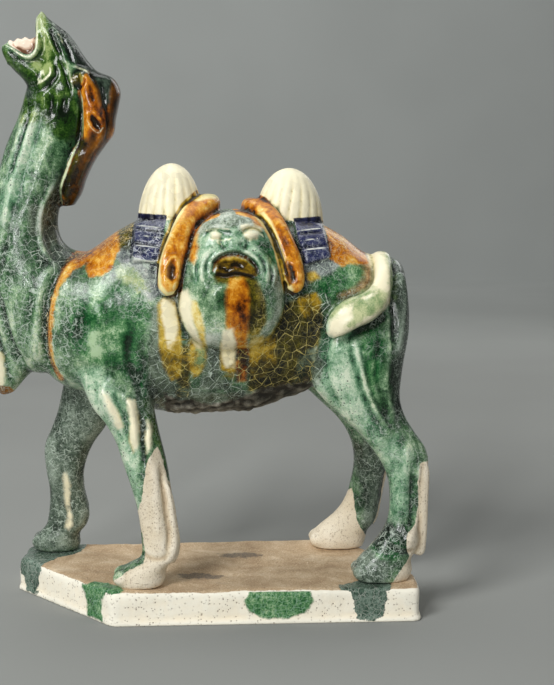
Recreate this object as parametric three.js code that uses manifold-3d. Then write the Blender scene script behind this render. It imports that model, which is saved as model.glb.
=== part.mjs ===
// A standing two-humped camel in three-colour glazed earthenware, luted to a hand-cut slab.
// Frame: millimetres, +Z up, the head towards -X, the left side towards -Y.
// The origin is on the slab's underside, below the middle of the belly.
import * as THREE from 'three';
import { mergeVertices } from 'three/addons/utils/BufferGeometryUtils.js';
import Module from 'manifold-3d';

const wasm = await Module();
wasm.setup();

// Driving sizes of the figure
const FIGURE_HEIGHT = 334; // soles to the tip of the upper lip
const DRAWN_HEIGHT = 334; // the height at which the stations below are written
const FRONT_FOOT_SPREAD = 42.5; // middle plane to the middle of a front foot
const HIND_FOOT_SPREAD = 38; // middle plane to the middle of a hind foot
const TORSO_HALF_WIDTH = 43; // middle plane to the side of the belly
// Squareness of the sections: 2 is an ellipse, more is squarer
const TORSO_SQUARENESS = 2.4;
const HEAD_SQUARENESS = 2.3;
const HAIR_SQUARENESS = 2.1;
const FLAT_SQUARENESS = 2.6;
const LEG_SQUARENESS = 2.3;
const NECK_HALF_WIDTH = 20;
const HEAD_HALF_WIDTH = 15.5;
const BAG_BULGE = 17; // how far a saddle bag stands out from the side
const FACE_RELIEF = 4.5; // height of the moulded face on a saddle bag
const FLUTE_DEPTH = 1.1;
const FLUTE_COUNT = 18;
const TILE_THICKNESS = 2.4;

// Driving sizes of the slab, and the seat of the feet on it
const SLAB_THICKNESS = 21;
const SLAB_ROUNDING = 3.5; // of the top edge
const SLAB_CORNER_RADIUS = 5;
// Corners as shares of the slab's reach to the front, the back and the sides
const SLAB_CORNERS = [[-0.5, -1], [0.985, -1], [1, -0.45], [0.73, 0.95], [-0.98, 0.9], [-1, 0.35]];
const SLAB_LIP_HEIGHT = 2;
const SLAB_LIP_REACH = 0.8;
const SEAT_GAP = 0.3;
const MARGIN_BEFORE_FEET = 7; // slab beyond the toes of the front foot that is furthest forward
const MARGIN_BEHIND_FEET = 5; // slab behind the heel of the hind foot that is furthest back
const MARGIN_BESIDE_FEET = 3.5; // slab outside the feet, on either side

const COLOURS = { glaze: 0x3f6f4c, biscuit: 0xd9cdb8 };
const GLAZE_ROUGHNESS = 0.18;
const BISCUIT_ROUGHNESS = 0.85;

const scale = FIGURE_HEIGHT / DRAWN_HEIGHT;
const soleHeight = SLAB_THICKNESS + SEAT_GAP;

// Stations of the torso, from the chest to the rump:
// [x, height of the back, height of the belly, share of the half width]
const TORSO = [
  [-106, 172, 148, 0.24],
  [-101, 184, 120, 0.58],
  [-91, 190, 112, 0.82],
  [-76, 193, 108, 0.93],
  [-60, 204, 103, 0.98],
  [-42, 213, 98, 1],
  [-22, 216, 95, 1],
  [0, 217, 95, 1],
  [22, 217, 97, 1],
  [42, 213, 104, 0.98],
  [60, 210, 111, 0.96],
  [76, 202, 119, 0.93],
  [90, 191.5, 128, 0.84],
  [102, 189, 138, 0.7],
  [109, 187.5, 148, 0.54],
  [113, 183, 156, 0.34],
  [114.6, 176, 163, 0.14],
];

// Stations of the neck and the upper head, from inside the chest to the lip:
// [x and height on the nape side, x and height on the throat side, share of the half width]
const NECK = [
  [-62, 172, -104, 119, 1.35],
  [-69, 186, -116, 122, 1.4],
  [-78, 192, -128, 136, 1.3],
  [-86, 194, -136, 154, 1.2],
  [-92, 200, -140, 175, 1.12],
  [-94, 210, -139, 195, 1.04],
  [-91, 224, -135, 217, 0.98],
  [-84, 238, -129, 238, 0.92],
  [-76, 251, -123, 257, 0.88],
  [-70, 264, -117, 270, 0.84],
];
const HEAD = [
  [-64, 280, -113, 281, 1.02],
  [-60.5, 291.5, -111, 288, 1.04],
  [-63, 296, -109, 294, 1.02],
  [-69.5, 299, -106, 298, 0.96],
  [-73.6, 303.4, -103, 301, 0.9],
  [-77.6, 308.7, -100, 303.5, 0.82],
  [-81.8, 315.3, -100.5, 307, 0.72],
  [-86, 320.6, -102, 312, 0.62],
  [-91.6, 325, -104, 317, 0.52],
  [-97, 329, -105, 322, 0.42],
  [-100.8, 333.5, -104.6, 328.6, 0.26],
];
// The lower jaw: [x and height of the lip edge, x and height of the chin side, share of the half width]
const JAW = [
  [-88, 301, -100, 284, 0.86],
  [-96, 302, -108, 287, 0.8],
  [-101, 304.5, -113, 294, 0.72],
  [-108, 306.5, -118, 299, 0.62],
  [-115, 310, -122, 304, 0.54],
  [-121, 313.5, -124, 308, 0.4],
  [-124, 314, -125, 311, 0.18],
];
// The ridged tongue between the jaws: [x, height of its top], ridge and valley by turns
const TONGUE = [
  [-122.5, 313.6],
  [-119.6, 316.8],
  [-117.6, 315.6],
  [-115.2, 318],
  [-113.4, 317],
  [-110.8, 318.6],
  [-108.4, 317.2],
  [-105.6, 318.2],
  [-101, 315],
];
const MOUTH_FLOOR = 302;
const MOUTH_HALF_WIDTH = 6.5;

// The beard that hangs from the lower neck before the chest, in the same form as the neck
const BEARD = [
  [-120, 190, -138.5, 190, 0.3],
  [-116, 170, -140, 170, 0.66],
  [-112, 148, -141, 150, 0.68],
  [-110.5, 132, -140, 132, 0.6],
  [-111.5, 121, -137, 119, 0.5],
  [-117, 114, -133.5, 110, 0.36],
  [-122.5, 107.5, -129.5, 106, 0.16],
];

// The amber mane down the nape: [x and height of its front edge, x and height of its back edge, share]
const MANE = [
  [-72, 298.5, -66, 297.4, 0.3],
  [-76, 296, -60, 294.8, 0.84],
  [-78, 289, -55.8, 287.5, 1.02],
  [-77.5, 279.5, -56.8, 279.5, 1.12],
  [-78.5, 270, -58.8, 270.5, 1.16],
  [-79.5, 262, -60, 262.5, 1.16],
  [-82, 255, -65, 255.5, 1.12],
  [-86.5, 247, -71, 247, 1.08],
  [-90, 237, -76.5, 236, 1],
  [-92, 227, -79.8, 226.5, 0.9],
  [-91, 219.5, -84, 220, 0.5],
];

// Legs from the hip to the sole: [height, x of the front, x of the back, half width]
const NEAR_FRONT_LEG = [
  [150, -82, -46, 8],
  [134, -83, -40.5, 11.5],
  [119, -80, -38.5, 12.8],
  [106, -74.5, -37.5, 13.2],
  [95, -66, -35.5, 12],
  [84, -60, -33, 11],
  [72, -56, -30, 10.5],
  [52, -49.5, -27, 9.8],
  [42, -47, -25.8, 8.8],
  [32, -45.6, -24.3, 8.6],
  [23, -44.8, -22.6, 9.4],
  [16, -45.2, -23.4, 10],
  [11.5, -52.5, -28.5, 11.2],
  [7, -60, -31, 12.2],
  [3, -61.5, -31, 12.4],
  [0, -59.5, -33, 11.4],
];
const FAR_FRONT_LEG = [
  [150, -88, -50, 8],
  [134, -91, -48, 11.5],
  [119, -93, -50, 12.8],
  [104, -96.2, -57, 13.2],
  [90, -99.5, -64, 12],
  [78, -104.2, -71, 11],
  [69, -108, -77.5, 10.5],
  [50, -107.5, -84, 9.8],
  [40, -106, -84.2, 8.8],
  [30, -106.2, -82.4, 8.6],
  [22, -107.2, -81, 9.4],
  [16, -108.5, -82.6, 10],
  [10.5, -113, -87, 11.2],
  [6, -117.5, -87.5, 12.2],
  [3, -118, -87, 12.4],
  [0, -116, -88.5, 11.4],
];
const NEAR_HIND_LEG = [
  [180, 66, 111, 8],
  [172, 57, 112, 14],
  [160, 52, 114.2, 17.5],
  [146, 50, 114.2, 19],
  [130, 52.5, 111.2, 18],
  [117, 55.5, 109.2, 16.5],
  [106, 64, 108.6, 14.5],
  [96, 73, 111.4, 12.8],
  [86, 83.5, 117.4, 11.4],
  [76, 92, 124, 10.4],
  [67, 98, 125.4, 9.6],
  [59, 101, 121.5, 8.8],
  [50, 102.2, 119.5, 8.2],
  [31, 99.5, 119, 8.8],
  [24, 95, 120, 10],
  [17, 89, 118, 11],
  [11, 83, 114.6, 12],
  [4, 79.4, 115.4, 12.6],
  [0, 81.5, 113, 11.6],
];
const FAR_HIND_LEG = [
  [180, 62, 104, 8],
  [172, 52, 111.5, 14],
  [160, 46, 113.5, 17.5],
  [146, 43, 112.5, 19],
  [117, 48, 102.5, 16.5],
  [106, 56, 101.5, 14.5],
  [96, 66, 102.5, 12.8],
  [86, 76.5, 108, 11.4],
  [76, 83.5, 113.5, 10.4],
  [66, 87.2, 115, 9.6],
  [56, 88.2, 111.5, 8.8],
  [46, 87, 107.6, 8.2],
  [27, 80.8, 105, 8.8],
  [21, 76, 104.4, 10],
  [15, 69, 102, 11],
  [9.5, 63, 97.6, 12],
  [4, 59.8, 96.6, 12.6],
  [0, 62, 95, 11.6],
];
const HIP_HEIGHT = 150; // where a leg leaves the torso
const HIP_SPREAD = 22;
const TOE = { behindTip: 6.2, apart: 5.6, height: 4.8, halfLength: 6.4, halfWidth: 5.2 };

// The rods of clay that stand for the tendons: [x, height] down the back of each shank
const NEAR_FRONT_TENDON = [[-31, 60], [-27.5, 48], [-25.8, 36], [-24.2, 24], [-26, 12]];
const FAR_FRONT_TENDON = [[-86.5, 52], [-86, 38], [-83.2, 24], [-85.5, 12]];
const NEAR_HIND_TENDON = [[123.4, 70], [123.2, 56], [122.8, 44], [122.4, 30], [121.6, 18], [120.6, 13]];
const FAR_HIND_TENDON = [[111.6, 60], [107.4, 42], [104.4, 26], [102, 13]];
const TENDON_HALF_WIDTH = 2.1;
const TENDON_HALF_DEPTH = 3.6;
const TENDON_BEDDING = 1.5; // how far a rod's middle is set towards its shank

// The tail, laid over the left haunch:
// [x, share of the haunch's reach, height, half thickness, half breadth]
const TAIL = [
  [97, 0.1, 186, 5, 5],
  [98.5, 0.3, 187.5, 5.4, 5.4],
  [98, 0.66, 183, 5.6, 5.4],
  [96.5, 0.93, 175, 5.6, 5.8],
  [93, 1.04, 168.5, 5.4, 7],
  [85.5, 1.08, 161.8, 5, 8.8],
  [77.5, 1.1, 158.5, 4.6, 9],
  [71.5, 1.1, 154, 4, 8],
  [67.5, 1.09, 149, 3.4, 5.6],
  [65.5, 1.08, 144.8, 1.6, 2],
];
const HAUNCH_HALF_WIDTH = 19;
const HAUNCH_REACH = HIP_SPREAD + HAUNCH_HALF_WIDTH;

// The humps: middle, height of the foot and the top, half length and half width at the foot
const FORE_HUMP = { x: -27.5, foot: 206, top: 245, lean: 1.5, halfLength: 19.5, halfWidth: 19 };
const REAR_HUMP = { x: 44.5, foot: 206, top: 242.2, lean: -0.2, halfLength: 20.5, halfWidth: 19 };

// The two rolled straps over the back:
// [x, height as a share of the torso's half height, half breadth, half thickness]
const FORE_STRAP = [
  [-27.5, 0.24, 3, 3],
  [-28, 0.33, 6, 5],
  [-26, 0.5, 7, 5],
  [-22, 0.72, 6.2, 5],
  [-17.5, 0.88, 6, 5],
  [-10, 0.975, 7, 5.6],
  [-4.5, 1, 7.6, 6.8],
];
const REAR_STRAP = [
  [43, 0.24, 3, 3],
  [45, 0.34, 5.6, 5],
  [43, 0.5, 6.6, 5],
  [39.5, 0.68, 6.2, 5],
  [35, 0.86, 5.8, 5],
  [29, 0.97, 6, 5],
  [22, 1, 6.6, 5],
];

// Corners of the tiles on the saddle cloth: [x, height as a share of the torso's half height]
const FORE_TILE = [[-47, 0.95], [-26, 0.93], [-32, 0.54], [-48.5, 0.6]];
const REAR_TILE = [[46, 0.93], [62.5, 0.97], [66, 0.62], [52, 0.52]];
const TILE_SEAT = 3; // how deep a tile is bedded in the side

// A saddle bag: its middle, half length and half height
const BAG = { x: 9, z: 177, halfLength: 30, halfHeight: 40, slant: 1, seat: 3, depth: 8 };
const BAG_COLUMNS = 12;
const BAG_ROWS = 16;

// Middle of the eye, and its half size along and away from the head
const EYE = { x: -79.5, z: 293.5, radius: 3.6, halfHeight: 2.9 };
// The ear hangs back along the neck: [x, height, half breadth, half thickness]
const EAR = [
  [-77, 298, 2, 1],
  [-74, 290, 4, 2],
  [-71.5, 279, 5.6, 2.4],
  [-71.5, 268, 5.2, 2.2],
  [-75, 257, 2.2, 1],
];
const EAR_STAND = 1.2; // middle of the ear outside the head's half width
const EYE_SINK = 2.6; // middle of the eye inside the head's half width

// Facets around each form
const SIDES = {
  torso: 24,
  neck: 16,
  head: 16,
  jaw: 12,
  tongue: 10,
  beard: 12,
  mane: 12,
  leg: 12,
  strap: 8,
  tail: 8,
  rod: 6,
};
const HUMP_LEVELS = 6;

// Turns rings of equal length into one closed body, with a fan over each end
function skin(rings) {
  const count = rings[0].length;
  const positions = [];
  const faces = [];
  rings.forEach((ring) => ring.forEach((point) => positions.push(point.x, point.y, point.z)));
  for (let r = 0; r + 1 < rings.length; r += 1) {
    for (let k = 0; k < count; k += 1) {
      const next = (k + 1) % count;
      const a = r * count + k;
      const b = r * count + next;
      const c = (r + 1) * count + k;
      const d = (r + 1) * count + next;
      faces.push(a, b, d, a, d, c);
    }
  }
  const ends = [[rings[0], 0, true], [rings[rings.length - 1], (rings.length - 1) * count, false]];
  for (const [ring, start, first] of ends) {
    const middle = new THREE.Vector3();
    ring.forEach((point) => middle.add(point));
    middle.divideScalar(count);
    const hub = positions.length / 3;
    positions.push(middle.x, middle.y, middle.z);
    for (let k = 0; k < count; k += 1) {
      const a = start + k;
      const b = start + ((k + 1) % count);
      faces.push(...(first ? [hub, b, a] : [hub, a, b]));
    }
  }
  return facingOut(positions, faces);
}

function signedVolume(positions, faces) {
  const corner = (index) => new THREE.Vector3().fromArray(positions, index * 3);
  let sum = 0;
  for (let f = 0; f < faces.length; f += 3) {
    const a = corner(faces[f]);
    const b = corner(faces[f + 1]);
    const c = corner(faces[f + 2]);
    sum += a.dot(b.cross(c)) / 6;
  }
  return sum;
}

function facingOut(positions, faces) {
  if (signedVolume(positions, faces) < 0) {
    for (let f = 0; f < faces.length; f += 3) {
      [faces[f], faces[f + 1]] = [faces[f + 1], faces[f]];
    }
  }
  const geometry = new THREE.BufferGeometry();
  geometry.setAttribute('position', new THREE.Float32BufferAttribute(positions, 3));
  geometry.setIndex(faces);
  return geometry;
}

// One ring around `middle`, with half axes `lengthwise` and `across`; squareness 2 is an ellipse
function ringAround(middle, lengthwise, across, sides, squareness) {
  const points = [];
  const round = (value) => Math.sign(value) * Math.abs(value) ** (2 / squareness);
  for (let k = 0; k < sides; k += 1) {
    const angle = (k / sides) * 2 * Math.PI;
    const point = middle.clone();
    point.addScaledVector(lengthwise, round(Math.cos(angle)));
    point.addScaledVector(across, round(Math.sin(angle)));
    points.push(point);
  }
  return points;
}

// A body between two outlines in the middle plane: rows of [x1, z1, x2, z2, half width]
function between(rows, sides, squareness) {
  return skin(rows.map(([x1, z1, x2, z2, halfWidth]) => {
    const middle = new THREE.Vector3((x1 + x2) / 2, 0, (z1 + z2) / 2);
    const lengthwise = new THREE.Vector3((x1 - x2) / 2, 0, (z1 - z2) / 2);
    return ringAround(middle, lengthwise, new THREE.Vector3(0, halfWidth, 0), sides, squareness);
  }));
}

// A bar along a route of points, with half sizes along `outward` and across it at each point
function bar(points, outwards, thickness, breadth, sides, squareness = 2) {
  return skin(points.map((point, index) => {
    const before = points[Math.max(index - 1, 0)];
    const after = points[Math.min(index + 1, points.length - 1)];
    const direction = after.clone().sub(before).normalize();
    const out = outwards[index].clone();
    out.addScaledVector(direction, -out.dot(direction)).normalize();
    const across = direction.clone().cross(out);
    out.multiplyScalar(thickness[index]);
    across.multiplyScalar(breadth[index]);
    return ringAround(point, out, across, sides, squareness);
  }));
}

function ball(x, y, z, halfX, halfY, halfZ) {
  const geometry = new THREE.SphereGeometry(1, 8, 5);
  geometry.scale(halfX, halfY, halfZ);
  geometry.translate(x, y, z);
  return geometry;
}

function solid(geometry) {
  const bare = geometry.clone();
  bare.deleteAttribute('normal');
  bare.deleteAttribute('uv');
  const merged = mergeVertices(bare, 1e-4);
  return new wasm.Manifold(new wasm.Mesh({
    numProp: 3,
    vertProperties: new Float32Array(merged.attributes.position.array),
    triVerts: new Uint32Array(merged.index.array),
  }));
}

function joined(geometries) {
  return geometries.map(solid).reduce((whole, piece) => whole.add(piece));
}

function toGeometry(manifold) {
  const mesh = manifold.getMesh();
  const geometry = new THREE.BufferGeometry();
  geometry.setAttribute('position', new THREE.Float32BufferAttribute(mesh.vertProperties, 3));
  geometry.setIndex(new THREE.Uint32BufferAttribute(mesh.triVerts, 1));
  return geometry;
}

// The value of a station table's column at x, by straight lines between the stations
function stationValue(rows, x, column) {
  const after = rows.findIndex((row) => row[0] > x);
  if (after === -1) {
    return rows[rows.length - 1][column];
  }
  if (after === 0) {
    return rows[0][column];
  }
  const [low, high] = [rows[after - 1], rows[after]];
  return THREE.MathUtils.mapLinear(x, low[0], high[0], low[column], high[column]);
}

// The point on the torso's skin at x and at a share of its half height, and the way out from it
function torsoSkin(x, rise, side) {
  const back = stationValue(TORSO, x, 1);
  const belly = stationValue(TORSO, x, 2);
  const halfHeight = (back - belly) / 2;
  const halfWidth = TORSO_HALF_WIDTH * stationValue(TORSO, x, 3);
  const reach = (1 - Math.abs(rise) ** TORSO_SQUARENESS) ** (1 / TORSO_SQUARENESS);
  const point = new THREE.Vector3(x, side * halfWidth * reach, (back + belly) / 2 + halfHeight * rise);
  const sideways = reach ** (TORSO_SQUARENESS - 1) / halfWidth;
  const upwards = Math.sign(rise) * Math.abs(rise) ** (TORSO_SQUARENESS - 1) / halfHeight;
  return { point, out: new THREE.Vector3(0, side * sideways, upwards).normalize() };
}

// How far out the side of the torso is, at a length and a height
function torsoSide(x, z) {
  const back = stationValue(TORSO, x, 1);
  const belly = stationValue(TORSO, x, 2);
  const rise = (z - (back + belly) / 2) / ((back - belly) / 2);
  return Math.abs(torsoSkin(x, THREE.MathUtils.clamp(rise, -1, 1), 1).point.y);
}

function torso() {
  const rows = TORSO.map(([x, back, belly, share]) => [x, back, x, belly, share * TORSO_HALF_WIDTH]);
  return between(rows, SIDES.torso, TORSO_SQUARENESS);
}

// Gives each station of a table its half width in place of its share
function widened(table, halfWidth) {
  return table.map(([x1, z1, x2, z2, share]) => [x1, z1, x2, z2, share * halfWidth]);
}

// The neck runs on into the first stations of the head
function neck() {
  const nape = widened(HEAD.slice(0, 2), HEAD_HALF_WIDTH);
  return between([...widened(NECK, NECK_HALF_WIDTH), ...nape], SIDES.neck, HAIR_SQUARENESS);
}

function beard() {
  return between(widened(BEARD, NECK_HALF_WIDTH), SIDES.beard, HAIR_SQUARENESS);
}

function head() {
  return between(widened(HEAD, HEAD_HALF_WIDTH), SIDES.head, HEAD_SQUARENESS);
}

function jaw() {
  return between(widened(JAW, HEAD_HALF_WIDTH), SIDES.jaw, HEAD_SQUARENESS);
}

function tongue() {
  const rows = TONGUE.map(([x, top]) => [x, top, x + 1, MOUTH_FLOOR, MOUTH_HALF_WIDTH]);
  return between(rows, SIDES.tongue, FLAT_SQUARENESS);
}

function mane() {
  return between(widened(MANE, HEAD_HALF_WIDTH), SIDES.mane, FLAT_SQUARENESS);
}

function eye(side) {
  const out = side * (HEAD_HALF_WIDTH - EYE_SINK);
  return ball(EYE.x, out, EYE.z, EYE.radius, EYE.radius, EYE.halfHeight);
}

function ear(side) {
  const outward = new THREE.Vector3(0, side, 0);
  const points = EAR.map(([x, z]) => new THREE.Vector3(x, side * (HEAD_HALF_WIDTH + EAR_STAND), z));
  const breadth = EAR.map((row) => row[2]);
  const thickness = EAR.map((row) => row[3]);
  return bar(points, points.map(() => outward), thickness, breadth, SIDES.rod);
}

// A leg's rings are level; its middle moves outwards from the hip to the foot
function leg(rows, side, footSpread) {
  return skin(rows.map(([height, front, back, halfWidth]) => {
    const fall = Math.min(Math.max((HIP_HEIGHT - height) / HIP_HEIGHT, 0), 1);
    const spread = HIP_SPREAD + (footSpread - HIP_SPREAD) * fall ** 0.8;
    const middle = new THREE.Vector3((front + back) / 2, side * spread, height);
    const length = new THREE.Vector3((back - front) / 2, 0, 0);
    return ringAround(middle, length, new THREE.Vector3(0, halfWidth, 0), SIDES.leg, LEG_SQUARENESS);
  }));
}

// Two toes stand out at the front of a foot
function toes(rows, side, footSpread) {
  const x = rows[rows.length - 2][1] + TOE.behindTip;
  const place = (toe) => side * footSpread + toe * TOE.apart;
  return [-1, 1].map((toe) => ball(x, place(toe), TOE.height, TOE.halfLength, TOE.halfWidth, TOE.height));
}

function tendon(route, side, footSpread) {
  const outward = new THREE.Vector3(1, 0, 0);
  const points = route.map(([x, height]) => new THREE.Vector3(x - TENDON_BEDDING, side * footSpread, height));
  const depth = points.map(() => TENDON_HALF_DEPTH);
  const breadth = points.map(() => TENDON_HALF_WIDTH);
  return bar(points, points.map(() => outward), depth, breadth, SIDES.rod);
}

function tail() {
  const points = TAIL.map(([x, share, height]) => new THREE.Vector3(x, -share * HAUNCH_REACH, height));
  const outwards = points.map((point) => new THREE.Vector3(0, point.y, HAUNCH_REACH / 2));
  const thickness = TAIL.map((row) => row[3]);
  const breadth = TAIL.map((row) => row[4]);
  return bar(points, outwards, thickness, breadth, SIDES.tail);
}

// A hump is a cone with a round top and flutes that run together at the top
function hump(shape) {
  const rings = [];
  for (let level = 0; level <= HUMP_LEVELS; level += 1) {
    const rise = Math.sin((level / HUMP_LEVELS) * Math.PI * 0.5);
    const narrow = Math.sqrt(Math.max(1 - rise ** 2.3, 0.004));
    const flute = FLUTE_DEPTH * Math.min(1, narrow * 1.6);
    const height = THREE.MathUtils.lerp(shape.foot, shape.top, rise);
    const middle = new THREE.Vector3(shape.x + shape.lean * rise, 0, height);
    const ring = [];
    for (let k = 0; k < FLUTE_COUNT * 2; k += 1) {
      const angle = (k / (FLUTE_COUNT * 2)) * 2 * Math.PI;
      const depth = k % 2 === 0 ? 0 : flute;
      const x = (shape.halfLength * narrow - depth) * Math.cos(angle);
      const y = (shape.halfWidth * narrow - depth) * Math.sin(angle);
      ring.push(middle.clone().add(new THREE.Vector3(x, y, 0)));
    }
    rings.push(ring);
  }
  return skin(rings);
}

// A strap follows the skin of the torso over the back, from one side to the other
function strap(rows) {
  const place = ([x, rise, half, thick], side) => ({ ...torsoSkin(x, rise, side), half, thick });
  const left = rows.map((row) => place(row, -1));
  const right = rows.slice(0, -1).reverse().map((row) => place(row, 1));
  const places = [...left, ...right];
  const points = places.map(({ point, out, thick }) => point.clone().addScaledVector(out, thick * 0.5));
  const breadth = places.map(({ half }) => half);
  const thickness = places.map(({ thick }) => thick);
  return bar(points, places.map(({ out }) => out), thickness, breadth, SIDES.strap, FLAT_SQUARENESS);
}

// A plate on the side of the torso: place(u, v) gives its outer and inner point, u and v from -1 to 1
function sidePatch(place, columns, rows) {
  const rings = [];
  for (let row = 0; row <= rows; row += 1) {
    const v = 1 - (2 * row) / rows;
    const ring = [];
    for (let column = 0; column <= columns; column += 1) {
      ring.push(place((2 * column) / columns - 1, v).outer);
    }
    ring.push(place(1, v).inner, place(-1, v).inner);
    rings.push(ring);
  }
  return skin(rings);
}

// A tile follows the skin of the torso between its four corners
function tile(corners, side) {
  const [topFront, topBack, bottomBack, bottomFront] = corners;
  const place = (u, v) => {
    const across = (u + 1) / 2;
    const down = (1 - v) / 2;
    const blend = (k) => THREE.MathUtils.lerp(
      THREE.MathUtils.lerp(topFront[k], topBack[k], across),
      THREE.MathUtils.lerp(bottomFront[k], bottomBack[k], across),
      down,
    );
    const { point, out } = torsoSkin(blend(0), blend(1), side);
    return {
      outer: point.clone().addScaledVector(out, TILE_THICKNESS),
      inner: point.clone().addScaledVector(out, -TILE_SEAT),
    };
  };
  return sidePatch(place, 3, 4);
}

// Relief of the face on a bag, at u across from -1 to 1 and v up from -1 to 1
function faceRelief(u, v) {
  const mound = (du, dv, ru, rv) => Math.exp(-((u - du) ** 2 / ru ** 2 + (v - dv) ** 2 / rv ** 2));
  const brows = mound(-0.4, 0.8, 0.3, 0.09) + mound(0.46, 0.8, 0.3, 0.09);
  const eyes = mound(-0.46, 0.64, 0.2, 0.09) + mound(0.52, 0.66, 0.2, 0.09);
  const nose = mound(0.04, 0.5, 0.24, 0.14);
  const lip = mound(0.04, 0.33, 0.42, 0.05);
  const cheeks = mound(-0.46, 0.16, 0.07, 0.16) + mound(0.52, 0.18, 0.07, 0.16);
  const mouth = Math.exp(-(((u - 0.04) / 0.38) ** 4) - ((v - 0.15) / 0.12) ** 4);
  return 0.6 * brows + 0.7 * eyes + 1.2 * nose + 0.8 * (lip + cheeks) - 1.2 * mouth;
}

// A saddle bag: a bulging shield with a moulded face in its upper half
function bag(side) {
  const place = (u, v) => {
    const narrow = Math.max(1 - Math.abs(v) ** 3.2, 0.02) ** 0.5;
    const halfLength = BAG.halfLength * narrow * (1 + 0.1 * Math.sin(-v * Math.PI * 0.6));
    const x = BAG.x + BAG.slant * v + halfLength * u;
    const z = BAG.z + BAG.halfHeight * v;
    const swell = Math.max(1 - Math.abs(u) ** 2.6, 0) ** 0.5 * narrow;
    const flank = torsoSide(x, Math.min(z, BAG.z + BAG.halfHeight * 0.5)) - BAG.seat;
    const reach = flank + (BAG_BULGE + FACE_RELIEF * faceRelief(u, v)) * swell;
    return {
      outer: new THREE.Vector3(x, side * reach, z),
      inner: new THREE.Vector3(x, side * (flank - BAG.depth), z),
    };
  };
  return sidePatch(place, BAG_COLUMNS, BAG_ROWS);
}

function camel() {
  const forms = [torso(), neck(), beard(), head(), jaw(), tongue(), mane()];
  forms.push(hump(FORE_HUMP), hump(REAR_HUMP), strap(FORE_STRAP), strap(REAR_STRAP), tail());
  for (const side of [-1, 1]) {
    forms.push(eye(side), ear(side), bag(side), tile(FORE_TILE, side), tile(REAR_TILE, side));
  }
  const legs = [
    [NEAR_FRONT_LEG, NEAR_FRONT_TENDON, -1, FRONT_FOOT_SPREAD],
    [FAR_FRONT_LEG, FAR_FRONT_TENDON, 1, FRONT_FOOT_SPREAD],
    [NEAR_HIND_LEG, NEAR_HIND_TENDON, -1, HIND_FOOT_SPREAD],
    [FAR_HIND_LEG, FAR_HIND_TENDON, 1, HIND_FOOT_SPREAD],
  ];
  for (const [rows, route, side, spread] of legs) {
    forms.push(leg(rows, side, spread), ...toes(rows, side, spread), tendon(route, side, spread));
  }
  const geometry = toGeometry(joined(forms));
  geometry.scale(scale, scale, scale);
  geometry.translate(0, 0, soleHeight);
  return geometry;
}

// The slab's outline follows the feet: its near front and far back corners are cut away
function slabOutline() {
  const foot = (rows) => rows[rows.length - 2];
  const front = foot(FAR_FRONT_LEG)[1] * scale - MARGIN_BEFORE_FEET;
  const back = foot(NEAR_HIND_LEG)[2] * scale + MARGIN_BEHIND_FEET;
  const side = (FRONT_FOOT_SPREAD + foot(NEAR_FRONT_LEG)[3]) * scale + MARGIN_BESIDE_FEET;
  return SLAB_CORNERS.map(([x, y]) => [x < 0 ? -x * front : x * back, y * side]);
}

// Moves every edge of a convex outline inwards, and rounds each corner with an arc
function insetOutline(corners, inset, radius) {
  const count = corners.length;
  const edge = (k) => {
    const [x1, y1] = corners[k % count];
    const [x2, y2] = corners[(k + 1) % count];
    const direction = new THREE.Vector2(x2 - x1, y2 - y1).normalize();
    const inward = new THREE.Vector2(-direction.y, direction.x);
    return { point: new THREE.Vector2(x1, y1).addScaledVector(inward, inset), direction, inward };
  };
  const ring = [];
  for (let k = 0; k < count; k += 1) {
    const before = edge(k + count - 1);
    const after = edge(k);
    const turn = before.direction.cross(after.direction);
    const across = after.point.clone().sub(before.point).cross(after.direction) / turn;
    const corner = before.point.clone().addScaledVector(before.direction, across);
    const half = Math.acos(before.direction.dot(after.direction)) / 2;
    const centre = corner.clone().addScaledVector(before.direction, -radius * Math.tan(half));
    centre.addScaledVector(before.inward, radius);
    const start = Math.atan2(-before.inward.y, -before.inward.x);
    for (let step = 0; step <= 3; step += 1) {
      const angle = start + (2 * half * step) / 3;
      ring.push([centre.x + radius * Math.cos(angle), centre.y + radius * Math.sin(angle)]);
    }
  }
  return ring;
}

function slab() {
  const outline = slabOutline();
  const lip = SLAB_LIP_REACH;
  const levels = [
    [0, 0],
    [SLAB_LIP_HEIGHT, 0],
    [SLAB_LIP_HEIGHT + lip, lip],
    [SLAB_THICKNESS - SLAB_ROUNDING, lip],
    [SLAB_THICKNESS - SLAB_ROUNDING * 0.3, lip + SLAB_ROUNDING * 0.3],
    [SLAB_THICKNESS, lip + SLAB_ROUNDING],
  ];
  return skin(levels.map(([z, inset]) => {
    const ring = insetOutline(outline, inset, SLAB_CORNER_RADIUS);
    return ring.map(([x, y]) => new THREE.Vector3(x, y, z));
  }));
}

function clay(name, geometry, colour, roughness) {
  const material = new THREE.MeshStandardMaterial({ color: colour, roughness, metalness: 0 });
  const mesh = new THREE.Mesh(geometry, material);
  mesh.name = name;
  return mesh;
}

const group = new THREE.Group();
group.add(clay('camel', camel(), COLOURS.glaze, GLAZE_ROUGHNESS));
group.add(clay('plinth', slab(), COLOURS.biscuit, BISCUIT_ROUGHNESS));

export default group;
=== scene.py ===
"""A standing two-humped camel in three-colour glazed earthenware, luted to a hand-cut slab.

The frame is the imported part's: metres, +Z up, the head towards -X, the left side towards -Y.
The tables are in millimetres. Outlines and lines give x and the height, seen from the side.
Heights start at the slab's underside. In the tables from TORSO to EAR, and where a comment says so,
they start at the soles.
"""
import functools
import math

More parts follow.
